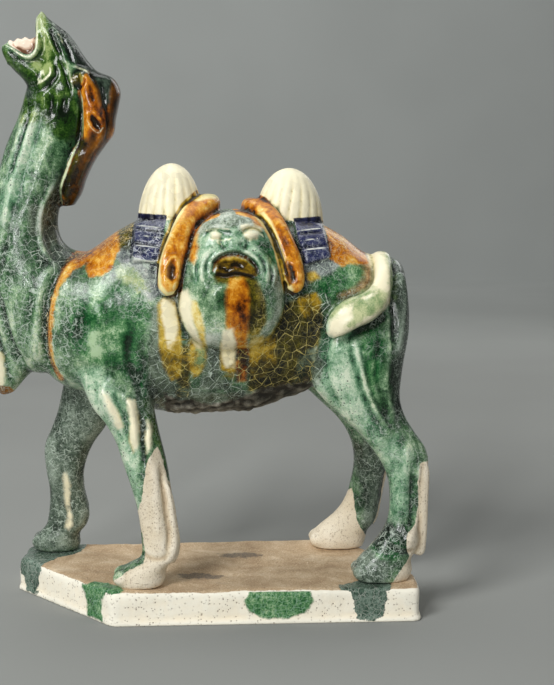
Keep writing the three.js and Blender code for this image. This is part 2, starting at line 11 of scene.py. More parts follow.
import bmesh
import bpy
import numpy as np
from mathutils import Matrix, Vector


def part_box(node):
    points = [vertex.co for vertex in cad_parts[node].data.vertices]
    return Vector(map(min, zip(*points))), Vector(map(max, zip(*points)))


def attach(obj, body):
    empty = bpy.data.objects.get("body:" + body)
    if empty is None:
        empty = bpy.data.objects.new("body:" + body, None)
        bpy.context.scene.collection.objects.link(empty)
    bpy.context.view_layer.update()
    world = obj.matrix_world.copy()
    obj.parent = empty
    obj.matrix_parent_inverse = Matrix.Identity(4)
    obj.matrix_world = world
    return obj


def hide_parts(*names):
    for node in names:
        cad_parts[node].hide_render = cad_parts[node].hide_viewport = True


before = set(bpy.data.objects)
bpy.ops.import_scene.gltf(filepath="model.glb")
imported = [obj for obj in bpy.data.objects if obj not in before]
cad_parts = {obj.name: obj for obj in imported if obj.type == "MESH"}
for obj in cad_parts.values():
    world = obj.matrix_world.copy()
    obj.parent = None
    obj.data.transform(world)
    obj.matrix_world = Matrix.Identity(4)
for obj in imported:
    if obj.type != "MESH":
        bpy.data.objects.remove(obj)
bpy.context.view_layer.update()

bl_info = {
    "name": "Sancai camel",
    "version": (1, 0, 0),
    "blender": (4, 5, 0),
    "location": "View3D > Sidebar > Camel",
    "description": "Models and glazes an earthenware camel on its slab",
    "category": "Object",
}

MM = 0.001
NEAR, FAR = -1, 1  # the left side, towards the camera, and the right side
BOTH = (NEAR, FAR)

SOLE = 21.3  # height of the soles above the slab's underside
BEDDING = 0.9  # how far the feet go into the slab
FRONT_FOOT_SPREAD = 42.5
HIND_FOOT_SPREAD = 38
HIP_SPREAD = 22
HIP_HEIGHT = 150  # above the soles
TOE_SIZE = (6.4, 5.2, 4.8)
TOE_SPREAD = 5.6
TOE_FROM_TIP = 6.2
TENDON_HALF_WIDTH = 2.1
TENDON_HALF_DEPTH = 3.6
TENDON_BEDDING = 1.5
TENDON_ENDS = [0.5, 0.85]  # shares of its size at each end of a tendon

TORSO_HALF_WIDTH = 43
TORSO_SQUARENESS = 2.4
NECK_HALF_WIDTH = 20
HEAD_HALF_WIDTH = 15.5
HAUNCH_REACH = 41
MOUTH_FLOOR = 302  # above the soles
MOUTH_HALF_WIDTH = 6.5
LIP_SIZE = 1.7
EYE_PLACE = (-80, 12.4, 314.4)
EYE_SIZE = (4.6, 3.9, 3.1)
EYE_TURN = 0.9
EAR_GAP = 1.2
FLUTE_COUNT = 18
FLUTE_DEPTH = 1.5

BAG_MIDDLE = (9, 177)  # x, and the height above the soles
BAG_HALF_LENGTH = 30
BAG_HALF_HEIGHT = 40
BAG_BULGE = 17
BAG_BEDDING = 8
BAG_SHOULDER = 197  # height above the soles from where the bag no longer follows the flank inwards
BAG_FACE = (-21.5, 40.5, 156, 242)  # the carved part in x and height, above the slab's underside
BAG_FACE_OUTWARDS = 40
TILE_THICKNESS = 2.4
PATCH_BEDDING = 3

LONGEST_EDGE = 2.7
FIELD_REACH = 30.0  # how far from a glaze area its distance is stored
GLAZE_ROUGHNESS, CLAY_ROUGHNESS, SLAB_ROUGHNESS, SLAB_RUN_ROUGHNESS = 0.13, 0.86, 0.88, 0.2
GLAZE_RELIEF = 0.9
SLAB_RELIEF = 0.8
SLAB_GRAIN = 1.1
SLAB_CORNER_RADIUS = 5.0


# [x, height of the back, height of the belly, share of the half width]
TORSO = [
    [-106, 172, 148, 0.24], [-101, 184, 120, 0.58], [-91, 190, 112, 0.82], [-76, 193, 108, 0.93],
    [-60, 204, 103, 0.98], [-42, 213, 98, 1], [-22, 216, 95, 1], [0, 217, 95, 1],
    [22, 217, 97, 1], [42, 213, 104, 0.98], [60, 210, 111, 0.96], [76, 202, 119, 0.93],
    [90, 191.5, 128, 0.84], [102, 189, 138, 0.7], [109, 187.5, 148, 0.54], [113, 183, 156, 0.34],
    [114.6, 176, 163, 0.14],
]
# [x and height on the nape side, x and height on the throat side, share of the half width]
NECK = [
    [-62, 172, -104, 119, 1.35], [-69, 186, -116, 122, 1.4], [-78, 192, -128, 136, 1.3],
    [-86, 194, -136, 154, 1.2], [-92, 200, -140, 175, 1.12], [-94, 210, -139, 195, 1.04],
    [-91, 224, -135, 217, 0.98], [-84, 238, -129, 238, 0.92], [-76, 251, -123, 257, 0.88],
    [-70, 264, -117, 270, 0.84],
]
HEAD = [
    [-64, 280, -113, 281, 1.02], [-60.5, 291.5, -111, 288, 1.04], [-63, 296, -109, 294, 1.02],
    [-69.5, 299, -106, 298, 0.96], [-73.6, 303.4, -103, 301, 0.9], [-77.6, 308.7, -100, 303.5, 0.82],
    [-81.8, 315.3, -100.5, 307, 0.72], [-86, 320.6, -102, 312, 0.62], [-91.6, 325, -104, 317, 0.52],
    [-97, 329, -105, 322, 0.42], [-100.8, 333.5, -104.6, 328.6, 0.26],
]
JAW = [
    [-88, 301, -100, 284, 0.86], [-96, 302, -108, 287, 0.8], [-101, 304.5, -113, 294, 0.72],
    [-108, 306.5, -118, 299, 0.62], [-115, 310, -122, 304, 0.54], [-121, 313.5, -124, 308, 0.4],
    [-124, 314, -125, 311, 0.18],
]
# [x, height of the top], ridge and valley by turns
TONGUE = [
    [-122.5, 313.6], [-119.6, 316.8], [-117.6, 315.6], [-115.2, 318], [-113.4, 317],
    [-110.8, 318.6], [-108.4, 317.2], [-105.6, 318.2], [-101, 315],
]
BEARD = [
    [-120, 190, -138.5, 190, 0.3], [-116, 170, -140, 170, 0.66], [-112, 148, -141, 150, 0.68],
    [-110.5, 132, -140, 132, 0.6], [-111.5, 121, -137, 119, 0.5], [-117, 114, -133.5, 110, 0.36],
    [-122.5, 107.5, -129.5, 106, 0.16],
]
# [x and height of the front edge, x and height of the back edge, share of the head's half width]
MANE = [
    [-72, 298.5, -66, 297.4, 0.3], [-76, 296, -60, 294.8, 0.84], [-78, 289, -55.8, 287.5, 1.02],
    [-77.5, 279.5, -56.8, 279.5, 1.12], [-78.5, 270, -58.8, 270.5, 1.16], [-79.5, 262, -60, 262.5, 1.16],
    [-82, 255, -65, 255.5, 1.12], [-86.5, 247, -71, 247, 1.08], [-90, 237, -76.5, 236, 1],
    [-92, 227, -79.8, 226.5, 0.9], [-91, 219.5, -84, 220, 0.5],
]
# [height, x of the front, x of the back, half width]
NEAR_FRONT_LEG = [
    [150, -82, -46, 8], [134, -83, -40.5, 11.5], [119, -80, -38.5, 12.8], [106, -74.5, -37.5, 13.2],
    [95, -66, -35.5, 12], [84, -60, -33, 11], [72, -56, -30, 10.5], [52, -49.5, -27, 9.8],
    [42, -47, -25.8, 8.8], [32, -45.6, -24.3, 8.6], [23, -44.8, -22.6, 9.4], [16, -45.2, -23.4, 10],
    [11.5, -52.5, -28.5, 11.2], [7, -60, -31, 12.2], [3, -61.5, -31, 12.4], [0, -59.5, -33, 11.4],
]
FAR_FRONT_LEG = [
    [150, -88, -50, 8], [134, -91, -48, 11.5], [119, -93, -50, 12.8], [104, -96.2, -57, 13.2],
    [90, -99.5, -64, 12], [78, -104.2, -71, 11], [69, -108, -77.5, 10.5], [50, -107.5, -84, 9.8],
    [40, -106, -84.2, 8.8], [30, -106.2, -82.4, 8.6], [22, -107.2, -81, 9.4], [16, -108.5, -82.6, 10],
    [10.5, -113, -87, 11.2], [6, -117.5, -87.5, 12.2], [3, -118, -87, 12.4], [0, -116, -88.5, 11.4],
]
NEAR_HIND_LEG = [
    [180, 66, 111, 8], [172, 57, 112, 14], [160, 52, 114.2, 17.5], [146, 50, 114.2, 19],
    [130, 52.5, 111.2, 18], [117, 55.5, 109.2, 16.5], [106, 64, 108.6, 14.5], [96, 73, 111.4, 12.8],
    [86, 83.5, 117.4, 11.4], [76, 92, 124, 10.4], [67, 98, 125.4, 9.6], [59, 101, 121.5, 8.8],
    [50, 102.2, 119.5, 8.2], [31, 99.5, 119, 8.8], [24, 95, 120, 10], [17, 89, 118, 11],
    [11, 83, 114.6, 12], [4, 79.4, 115.4, 12.6], [0, 81.5, 113, 11.6],
]
FAR_HIND_LEG = [
    [180, 62, 104, 8], [172, 52, 111.5, 14], [160, 46, 113.5, 17.5], [146, 43, 112.5, 19],
    [117, 48, 102.5, 16.5], [106, 56, 101.5, 14.5], [96, 66, 102.5, 12.8], [86, 76.5, 108, 11.4],
    [76, 83.5, 113.5, 10.4], [66, 87.2, 115, 9.6], [56, 88.2, 111.5, 8.8], [46, 87, 107.6, 8.2],
    [27, 80.8, 105, 8.8], [21, 76, 104.4, 10], [15, 69, 102, 11], [9.5, 63, 97.6, 12],
    [4, 59.8, 96.6, 12.6], [0, 62, 95, 11.6],
]
# [x, height] down the back of each shank
NEAR_FRONT_TENDON = [[-31, 60], [-27.5, 48], [-25.8, 36], [-24.2, 24], [-26, 12]]
FAR_FRONT_TENDON = [[-86.5, 52], [-86, 38], [-83.2, 24], [-85.5, 12]]
NEAR_HIND_TENDON = [[123.4, 70], [123.2, 56], [122.8, 44], [122.4, 30], [121.6, 18], [120.6, 13]]
FAR_HIND_TENDON = [[111.6, 60], [107.4, 42], [104.4, 26], [102, 13]]
LEGS = [
    (NEAR_FRONT_LEG, NEAR_FRONT_TENDON, NEAR, FRONT_FOOT_SPREAD),
    (FAR_FRONT_LEG, FAR_FRONT_TENDON, FAR, FRONT_FOOT_SPREAD),
    (NEAR_HIND_LEG, NEAR_HIND_TENDON, NEAR, HIND_FOOT_SPREAD),
    (FAR_HIND_LEG, FAR_HIND_TENDON, FAR, HIND_FOOT_SPREAD),
]
# [x, share of the haunch's reach, height, half thickness, half breadth]
TAIL = [
    [97, 0.1, 186, 5, 5], [98.5, 0.3, 187.5, 5.4, 5.4], [98, 0.66, 183, 5.6, 5.4],
    [96.5, 0.93, 175, 5.6, 5.8], [93, 1.04, 168.5, 5.4, 7], [85.5, 1.08, 161.8, 5, 8.8],
    [77.5, 1.1, 158.5, 4.6, 9], [71.5, 1.1, 154, 4, 8], [67.5, 1.09, 149, 3.4, 5.6],
    [65.5, 1.08, 144.8, 1.6, 2],
]
# Middle, foot, top, lean, half length, half width, and how far the flutes turn on their way up
HUMPS = [
    (-27.5, 206, 245, 1.5, 19.5, 19, 0.0),
    (44.5, 206, 242.2, -0.2, 20.5, 19, 0.35),
]
# [x, height as a share of the torso's half height, half breadth, half thickness]
FORE_STRAP = [
    [-27.5, 0.24, 3, 3], [-28, 0.33, 6, 5], [-26, 0.5, 7, 5], [-22, 0.72, 6.2, 5], [-17.5, 0.88, 6, 5],
    [-10, 0.975, 7, 5.6], [-4.5, 1, 7.6, 6.8],
]
REAR_STRAP = [
    [43, 0.24, 3, 3], [45, 0.34, 5.6, 5], [43, 0.5, 6.6, 5], [39.5, 0.68, 6.2, 5], [35, 0.86, 5.8, 5],
    [29, 0.97, 6, 5], [22, 1, 6.6, 5],
]
FORE_TILE = [[-47, 0.95], [-26, 0.93], [-32, 0.54], [-48.5, 0.6]]
REAR_TILE = [[46, 0.93], [62.5, 0.97], [66, 0.62], [52, 0.52]]
# [x, height, half breadth, half thickness]
EAR = [
    [-77, 298, 2, 1], [-74, 290, 4, 2], [-71.5, 279, 5.6, 2.4], [-71.5, 268, 5.2, 2.2],
    [-75, 257, 2.2, 1],
]
# [x, height above the slab's underside, reach sideways] along the rim of the mouth
LIP = [
    [-101, 351, 2.2], [-102.4, 344, 4.6], [-102.9, 337, 7], [-103.4, 332, 8.4], [-106, 328.4, 9],
    [-110, 327.4, 8.8], [-114.5, 329.6, 7.6], [-119, 332.6, 6.2], [-122.5, 334.4, 4.4],
]
# [x, y], and [height, how far the outline is drawn in]
SLAB_CORNERS = [[-62.5, -58.4], [118.7, -58.4], [120.4, -26.3], [88, 55.5], [-122.5, 52.5], [-125, 20.4]]
SLAB_LEVELS = [[0, 0], [2, 0], [2.8, 0.8], [17.5, 0.8], [19.9, 1.9], [21, 4.3]]


def srgb(red, green, blue):
    """A colour in 0 to 255 as the linear values that Blender keeps."""
    return tuple(
        value / 12.92 if value <= 0.04045 else ((value + 0.055) / 1.055) ** 2.4
        for value in (red / 255, green / 255, blue / 255)
    )


def stations(rows, steps):
    """Rows between the given ones, on a smooth curve through them all."""
    rows = np.array(rows, float)
    gaps = np.linalg.norm(np.diff(rows, axis=0), axis=1)[:, None]
    slopes = np.diff(rows, axis=0) / gaps
    inner = (gaps[:-1] * slopes[1:] + gaps[1:] * slopes[:-1]) / (gaps[:-1] + gaps[1:])
    tangents = np.vstack([slopes[:1], inner, slopes[-1:]])
    made = []
    for k, gap in enumerate(gaps):
        for t in np.arange(steps) / steps:
            made.append(
                (2 * t**3 - 3 * t**2 + 1) * rows[k]
                + (t**3 - 2 * t**2 + t) * gap * tangents[k]
                + (3 * t**2 - 2 * t**3) * rows[k + 1]
                + (t**3 - t**2) * gap * tangents[k + 1]
            )
    made.append(rows[-1])
    return np.array(made)


def ring(middle, lengthwise, across, sides, squareness):
    """A closed ring of points, from an ellipse to nearly a rectangle."""
    angle = np.arange(sides) / sides * 2 * math.pi
    cosine, sine = np.cos(angle), np.sin(angle)
    power = 2 / squareness
    u = np.sign(cosine) * np.abs(cosine) ** power
    v = np.sign(sine) * np.abs(sine) ** power
    return np.array(middle) + u[:, None] * np.array(lengthwise) + v[:, None] * np.array(across)


def between(rows, half_width, sides, squareness, steps=4):
    """Rings between two outlines in the middle plane."""
    rings = []
    for x1, z1, x2, z2, share in stations(rows, steps):
        middle = ((x1 + x2) / 2, 0, (z1 + z2) / 2 + SOLE)
        along = ((x1 - x2) / 2, 0, (z1 - z2) / 2)
        rings.append(ring(middle, along, (0, max(share * half_width, 0.4), 0), sides, squareness))
    return rings


def bar(points, outwards, thickness, breadth, sides, squareness=2.0):
    """Rings along a route of points, with half sizes along `outwards` and across it."""
    points = np.array(points, float)
    rings = []
    for k, point in enumerate(points):
        along = points[min(k + 1, len(points) - 1)] - points[max(k - 1, 0)]
        along /= np.linalg.norm(along)
        out = np.array(outwards[k], float)
        out -= along * out.dot(along)
        out /= np.linalg.norm(out)
        across = np.cross(along, out)
        rings.append(ring(point, out * thickness[k], across * breadth[k], sides, squareness))
    return rings


def station_value(x, column):
    table = np.array(TORSO, float)
    return float(np.interp(x, table[:, 0], table[:, column]))


def torso_skin(x, rise, side):
    """The point on the torso's skin at x and a share of its half height, and the way out."""
    back, belly = station_value(x, 1), station_value(x, 2)
    half_height = (back - belly) / 2
    half_width = TORSO_HALF_WIDTH * station_value(x, 3)
    reach = max(1 - abs(rise) ** TORSO_SQUARENESS, 0) ** (1 / TORSO_SQUARENESS)
    point = np.array((x, side * half_width * reach, (back + belly) / 2 + half_height * rise + SOLE))
    power = TORSO_SQUARENESS - 1
    upwards = math.copysign(abs(rise) ** power, rise)
    out = np.array((0, side * reach**power / half_width, upwards / half_height))
    return point, out / np.linalg.norm(out)


def torso_side(x, z):
    """How far out the torso's side is, at a length and a height above the soles."""
    back, belly = station_value(x, 1), station_value(x, 2)
    rise = (z - (back + belly) / 2) / ((back - belly) / 2)
    return abs(torso_skin(x, min(max(rise, -1), 1), FAR)[0][1])


def loft(rings):
    """One form from ring to ring: a disc is added at the first ring and extruded to each next one."""
    bpy.ops.object.select_all(action="DESELECT")
    bpy.ops.mesh.primitive_circle_add(vertices=len(rings[0]), radius=0.01, fill_type="NGON")
    form = bpy.context.object
    bpy.ops.object.mode_set(mode="EDIT")
    for k, points in enumerate(rings):
        if k:
            bpy.ops.mesh.extrude_region_move()
        mesh = bmesh.from_edit_mesh(form.data)
        top = [vertex for vertex in mesh.verts if vertex.select]
        for vertex, point in zip(top, points):
            vertex.co = np.array(point) * MM
        bmesh.update_edit_mesh(form.data)
    bpy.ops.mesh.select_all(action="SELECT")
    bpy.ops.mesh.normals_make_consistent(inside=False)
    bpy.ops.object.mode_set(mode="OBJECT")
    form.matrix_world.identity()
    return form


def ball(middle, half_sizes, turn=0.0):
    """A round pellet of clay at its place."""
    place = np.array(middle) * MM
    bpy.ops.object.select_all(action="DESELECT")
    bpy.ops.mesh.primitive_uv_sphere_add(
        segments=24, ring_count=14, radius=MM, location=place, rotation=(0, turn, 0), scale=half_sizes
    )
    bpy.ops.object.transform_apply(location=True, rotation=True, scale=True)
    return bpy.context.object


def torso():
    rows = [[x, back, x, belly, share] for x, back, belly, share in TORSO]
    return loft(between(rows, TORSO_HALF_WIDTH, 48, TORSO_SQUARENESS))


def neck():
    table = np.array(NECK, float)
    table[:, 4] *= NECK_HALF_WIDTH / HEAD_HALF_WIDTH
    return loft(between([*table, *HEAD[:2]], HEAD_HALF_WIDTH, 40, 2.1))


def leg(rows, side, spread):
    rings = []
    for height, front, back, half_width in stations(rows, 4):
        fall = min(max((HIP_HEIGHT - height) / HIP_HEIGHT, 0), 1)
        y = side * (HIP_SPREAD + (spread - HIP_SPREAD) * fall**0.8)
        middle = ((front + back) / 2, y, height + SOLE)
        rings.append(ring(middle, ((back - front) / 2, 0, 0), (0, half_width, 0), 32, 2.3))
    rings[-1][:, 2] -= BEDDING
    return loft(rings)


def toes(rows, side, spread):
    x, z = rows[-2][1] + TOE_FROM_TIP, TOE_SIZE[2] + SOLE
    return [ball((x, side * spread + toe * TOE_SPREAD, z), TOE_SIZE) for toe in (-1, 1)]


def tendon(route, side, spread):
    points = [(x - TENDON_BEDDING, side * spread, z + SOLE) for x, z in stations(route, 4)]
    shares = np.ones(len(points))
    shares[:2] = TENDON_ENDS
    shares[-2:] = TENDON_ENDS[::-1]
    outwards = [(1, 0, 0)] * len(points)
    return loft(bar(points, outwards, TENDON_HALF_DEPTH * shares, TENDON_HALF_WIDTH * shares, 16))


def tail():
    rows = stations(TAIL, 4)
    points = [(x, -share * HAUNCH_REACH, z + SOLE) for x, share, z, _, _ in rows]
    outwards = [(0, y, HAUNCH_REACH / 2) for _, y, _ in points]
    return loft(bar(points, outwards, rows[:, 3], rows[:, 4], 28, 2.4))


def hump(x, foot, top, lean, half_length, half_width, turn):
    """A cone with a round top, and rounded flutes parted by narrow grooves."""
    rings = []
    angle = np.arange(FLUTE_COUNT * 10) / (FLUTE_COUNT * 10) * 2 * math.pi
    groove = np.exp(-(np.sin(angle * FLUTE_COUNT / 2) / 0.3) ** 2)
    for level in np.linspace(0, 1, 25):
        rise = math.sin(level * math.pi / 2)
        narrow = math.sqrt(max(1 - rise**2.3, 0.002))
        depth = FLUTE_DEPTH * min(1, narrow * 1.5) * groove
        turned = angle + turn * rise
        lengthwise = x + lean * rise + (half_length * narrow - depth) * np.cos(turned)
        across = (half_width * narrow - depth) * np.sin(turned)
        height = np.full(len(angle), foot + (top - foot) * rise + SOLE)
        rings.append(np.stack([lengthwise, across, height], axis=1))
    return loft(rings)


def strap(rows):
    """A rolled strap over the back, from one side to the other."""
    left = stations(rows, 5)
    route = [(row, NEAR) for row in left] + [(row, FAR) for row in left[-2::-1]]
    places = [torso_skin(row[0], min(row[1], 1), side) for row, side in route]
    half, thickness = np.array([row[2:] for row, _ in route]).T
    points = [point + out * thick * 0.5 for (point, out), thick in zip(places, thickness)]
    return loft(bar(points, [out for _, out in places], thickness, half, 24, 2.6))


def side_patch(place, columns, rows):
    """A plate on the side of the torso, from a function of -1 to 1 across and up."""
    rings = []
    for v in np.linspace(1, -1, rows + 1):
        line = [place(u, v) for u in np.linspace(-1, 1, columns + 1)]
        rings.append(np.array([outer for outer, _ in line] + [line[-1][1], line[0][1]]))
    return loft(rings)


def tile(corners, side):
    """One tile of the saddle cloth, bent over the torso's side."""
    corners = np.array(corners, float)

    def place(u, v):
        across, down = (u + 1) / 2, (1 - v) / 2
        upper = corners[0] * (1 - across) + corners[1] * across
        lower = corners[3] * (1 - across) + corners[2] * across
        x, rise = upper * (1 - down) + lower * down
        point, out = torso_skin(x, rise, side)
        return point + out * TILE_THICKNESS, point - out * PATCH_BEDDING

    return side_patch(place, 8, 10)


def bag(side):
    """A bulging saddle bag; the face on it is carved later."""

    def place(u, v):
        narrow = max(1 - abs(v) ** 3.2, 0.02) ** 0.5
        half_length = BAG_HALF_LENGTH * narrow * (1 + 0.1 * math.sin(-v * math.pi * 0.6))
        x = BAG_MIDDLE[0] + v + half_length * u
        z = BAG_MIDDLE[1] + BAG_HALF_HEIGHT * v
        swell = max(1 - abs(u) ** 2.6, 0) ** 0.5 * narrow
        flank = torso_side(x, min(z, BAG_SHOULDER)) - PATCH_BEDDING
        outer = np.array((x, side * (flank + BAG_BULGE * swell), z + SOLE))
        return outer, np.array((x, side * (flank - BAG_BEDDING), z + SOLE))

    return side_patch(place, 36, 48)


def tongue():
    rows = [[x, top, x + 1, MOUTH_FLOOR, 1] for x, top in TONGUE]
    return loft(between(rows, MOUTH_HALF_WIDTH, 24, 2.6))


def eye(side):
    x, y, z = EYE_PLACE
    return ball((x, side * y, z), EYE_SIZE, EYE_TURN)


def ear(side):
    rows = stations(EAR, 4)
    points = [(x, side * (HEAD_HALF_WIDTH + EAR_GAP), z + SOLE) for x, z, _, _ in rows]
    return loft(bar(points, [(0, side, 0)] * len(points), rows[:, 3], rows[:, 2], 24))


def lip(side):
    """The rolled rim of the open mouth."""
    points = [(x, side * reach, z) for x, z, reach in stations(LIP, 3)]
    size = np.full(len(points), LIP_SIZE)
    return loft(bar(points, [(0, side, 0)] * len(points), size, size, 14))


def body_forms():
    """The large forms, run together before the smaller ones go on."""
    forms = [torso(), neck(), loft(between(BEARD, NECK_HALF_WIDTH, 28, 2.1))]
    return forms + [leg(rows, side, spread) for rows, _, side, spread in LEGS]


def added_forms():
    """The head, the humps, the trappings and the small forms of the limbs."""
    forms = [
        loft(between(HEAD, HEAD_HALF_WIDTH, 36, 2.3)),
        loft(between(JAW, HEAD_HALF_WIDTH, 28, 2.3)),
        tongue(),
        loft(between(MANE, HEAD_HALF_WIDTH, 28, 2.6)),
        tail(),
        strap(FORE_STRAP),
        strap(REAR_STRAP),
    ]
    forms += [hump(*shape) for shape in HUMPS]
    for side in BOTH:
        forms += [ear(side), lip(side), bag(side), tile(FORE_TILE, side), tile(REAR_TILE, side), eye(side)]
    for rows, route, side, spread in LEGS:
        forms += [*toes(rows, side, spread), tendon(route, side, spread)]
    return forms


def pick(*pieces):
    """Selects only these, with the first one active."""
    bpy.ops.object.select_all(action="DESELECT")
    for piece in pieces:
        piece.select_set(True)
    bpy.context.view_layer.objects.active = pieces[0]


def one_mesh(name, forms, grain):
    """Joins the forms and runs them together into one skin of even faces."""
    pick(*forms)
    bpy.ops.object.join()
    whole = bpy.context.object
    whole.name = whole.data.name = name
    remesh = whole.modifiers.new("Remesh", "REMESH")
    remesh.mode = "VOXEL"
    remesh.voxel_size = grain
    bpy.ops.object.modifier_apply(modifier=remesh.name)
    return whole


def read_points(mesh):
    points = np.empty(len(mesh.vertices) * 3)
    mesh.vertices.foreach_get("co", points)
    return points.reshape(-1, 3) / MM


def write_points(mesh, points):
    mesh.vertices.foreach_set("co", (points * MM).ravel())
    mesh.update()


def read_edges(mesh):
    edges = np.empty(len(mesh.edges) * 2, np.int64)
    mesh.edges.foreach_get("vertices", edges)
    return edges.reshape(-1, 2)


def read_normals(mesh):
    normals = np.empty(len(mesh.vertices) * 3)
    mesh.vertex_normals.foreach_get("vector", normals)
    return normals.reshape(-1, 3)


def edge_counts(points, edges):
    return np.maximum(np.bincount(edges.ravel(), minlength=len(points)), 1).astype(float)


def neighbour_mean(values, edges, count):
    """The mean of each point's neighbours."""
    first, second = edges.T
    size = len(count)
    columns = [
        np.bincount(first, column[second], size) + np.bincount(second, column[first], size)
        for column in values.T
    ]
    return np.stack(columns, axis=1) / count[:, None]


def smoothed(points, edges, rounds, keep_volume=True, weight=1.0):
    """Rubs the surface smooth; with keep_volume each rub in is followed by one out."""
    count = edge_counts(points, edges)
    weight = np.reshape(weight, (-1, 1)) if np.ndim(weight) else weight
    for _ in range(rounds):
        points = points + 0.5 * weight * (neighbour_mean(points, edges, count) - points)
        if keep_volume:
            points = points - 0.515 * weight * (neighbour_mean(points, edges, count) - points)
    return points


def line_distance(flat, line):
    """Distance of points (x, z) from a line, and their place along it from 0 to 1."""
    line = np.array(line, float)
    lengths = np.linalg.norm(np.diff(line, axis=0), axis=1)
    total, start = lengths.sum(), 0.0
    best = np.full(len(flat), 1e9)
    along = np.zeros(len(flat))
    for a, b, length in zip(line[:-1], line[1:], lengths):
        share = np.clip((flat - a) @ (b - a) / length**2, 0, 1)
        distance = np.linalg.norm(flat - (a + share[:, None] * (b - a)), axis=1)
        nearer = distance < best
        best[nearer] = distance[nearer]
        along[nearer] = (start + share[nearer] * length) / total
        start += length
    return best, along


def area_distance(flat, outline):
    """Distance of points (x, z) from an outline, above zero inside it."""
    outline = np.array(outline, float)
    best = np.full(len(flat), 1e9)
    inside = np.zeros(len(flat), bool)
    x, z = flat.T
    for a, b in zip(outline, np.roll(outline, -1, axis=0)):
        edge = b - a
        share = np.clip(((flat - a) @ edge) / max(edge @ edge, 1e-9), 0, 1)
        best = np.minimum(best, np.linalg.norm(flat - (a + share[:, None] * edge), axis=1))
        if a[1] != b[1]:
            crosses = (a[1] > z) != (b[1] > z)
            inside ^= crosses & (x < a[0] + (z - a[1]) * edge[0] / edge[1])
    return np.where(inside, best, -best)


def eased(share):
    """A share from 0 to 1 with soft ends."""
    return share * share * (3 - 2 * share)


def curve(line):
    """A line through its points: smooth, or straight between two."""
    return stations(line, 4) if len(line) > 2 else np.array(line, float)


def taper(along, reach, least=0):
    """Fades both ends of a line."""
    return np.clip(np.minimum(along, 1 - along) / reach, least, 1)


def carve(points, normals, strokes):
    """Raises ridges and presses grooves along lines seen from the side.

    A stroke is (sides, width, height, line): its height is in mm, below zero for a groove.
    """
    moved = np.zeros(len(points))
    flat = points[:, [0, 2]]
    for sides, width, height, line in strokes:
        smooth = curve(line)
        low, high = smooth.min(0) - 3 * width, smooth.max(0) + 3 * width
        for side in sides:
            near = np.all((flat > low) & (flat < high), axis=1)
            near &= (points[:, 1] * side > 1) & (normals[:, 1] * side > 0.05)
            chosen = np.nonzero(near)[0]
            distance, along = line_distance(flat[chosen], smooth)
            strength = 0.25 + 0.75 * eased(taper(along, 0.18))
            facing = np.clip(normals[chosen, 1] * side * 3, 0, 1)
            moved[chosen] += height * np.exp(-((distance / width) ** 2)) * strength * facing
    return moved


def mound(points, x, z, half_x, half_z, power=2.0):
    """A soft hill seen from the side, 1 at its middle."""
    across, up = (points[:, 0] - x) / half_x, (points[:, 2] - z) / half_z
    return np.exp(-(np.abs(across) ** power) - np.abs(up) ** power)


def waves(points, seed, size, amount):
    """A smooth uneven surface, from a few sine waves in turned directions."""
    turns = np.random.default_rng(seed)
    total = np.zeros(len(points))
    for _ in range(7):
        direction = turns.normal(size=3)
        direction /= np.linalg.norm(direction)
        length = size * turns.uniform(0.6, 1.7)
        total += np.sin(points @ direction * 2 * math.pi / length + turns.uniform(0, 6.28))
    return total / 7**0.5 * amount


def on_sides(points, sides):
    return np.isin(np.where(points[:, 1] < 0, NEAR, FAR), sides)


def soft_field(points, patches):
    """The sum of soft patches (amount, softness in mm, sides, outline)."""
    total = np.zeros(len(points))
    flat = points[:, [0, 2]]
    for amount, softness, sides, outline in patches:
        near = on_sides(points, sides)
        share = np.clip(area_distance(flat[near], outline) / softness + 0.5, 0, 1)
        total[near] += amount * eased(share)
    return total


def soft_lines(points, bands):
    """The sum of soft bands (amount, half width in mm, sides, line), each strongest on its line."""
    total = np.zeros(len(points))
    flat = points[:, [0, 2]]
    for amount, half_width, sides, line in bands:
        near = on_sides(points, sides)
        distance, along = line_distance(flat[near], curve(line))
        total[near] += amount * taper(along, 0.15) * np.exp(-((distance / half_width) ** 2))
    return total


def hard_field(points, patches):
    """Distance into the nearest patch (sides, outline), in mm, below zero outside them all."""
    best = np.full(len(points), -FIELD_REACH)
    flat = points[:, [0, 2]]
    for sides, outline in patches:
        near = on_sides(points, sides)
        distance = np.clip(area_distance(flat[near], outline), -FIELD_REACH, FIELD_REACH)
        best[near] = np.maximum(best[near], distance)
    return best


def line_field(points, lines):
    """Distance into the nearest painted line (sides, half width, line), in mm, below zero beside it."""
    best = np.full(len(points), -10.0)
    flat = points[:, [0, 2]]
    for sides, half_width, line in lines:
        near = on_sides(points, sides)
        distance, along = line_distance(flat[near], curve(line))
        best[near] = np.maximum(best[near], half_width * taper(along, 0.2, 0.3) - distance)
    return best


def hollowness(points, normals, edges, rounds, most):
    """How hollow (up to 1) or ridged (down to -1) the surface is at each point."""
    count = edge_counts(points, edges)
    wide = points
    for _ in range(rounds):
        wide = neighbour_mean(wide, edges, count)
    return np.clip(((wide - points) * normals).sum(axis=1) / most, -1, 1)


def keep_in_box(points, low, high):
    return np.clip(points, np.array(low) / MM, np.array(high) / MM)


def paint(piece, name, values):
    """Stores one value a point, for the materials to read."""
    layer = piece.data.attributes.new(name, "FLOAT", "POINT")
    layer.data.foreach_set("value", values.astype(np.float32))


def thin_out(piece, most):
    """Takes triangles out where the surface is plain, down to `most`."""
    mesh = piece.data
    mesh.calc_loop_triangles()
    share = most / len(mesh.loop_triangles)
    if share >= 1:
        return
    pick(piece)
    decimate = piece.modifiers.new("Decimate", "DECIMATE")
    decimate.ratio = share
    bpy.ops.object.modifier_apply(modifier=decimate.name)


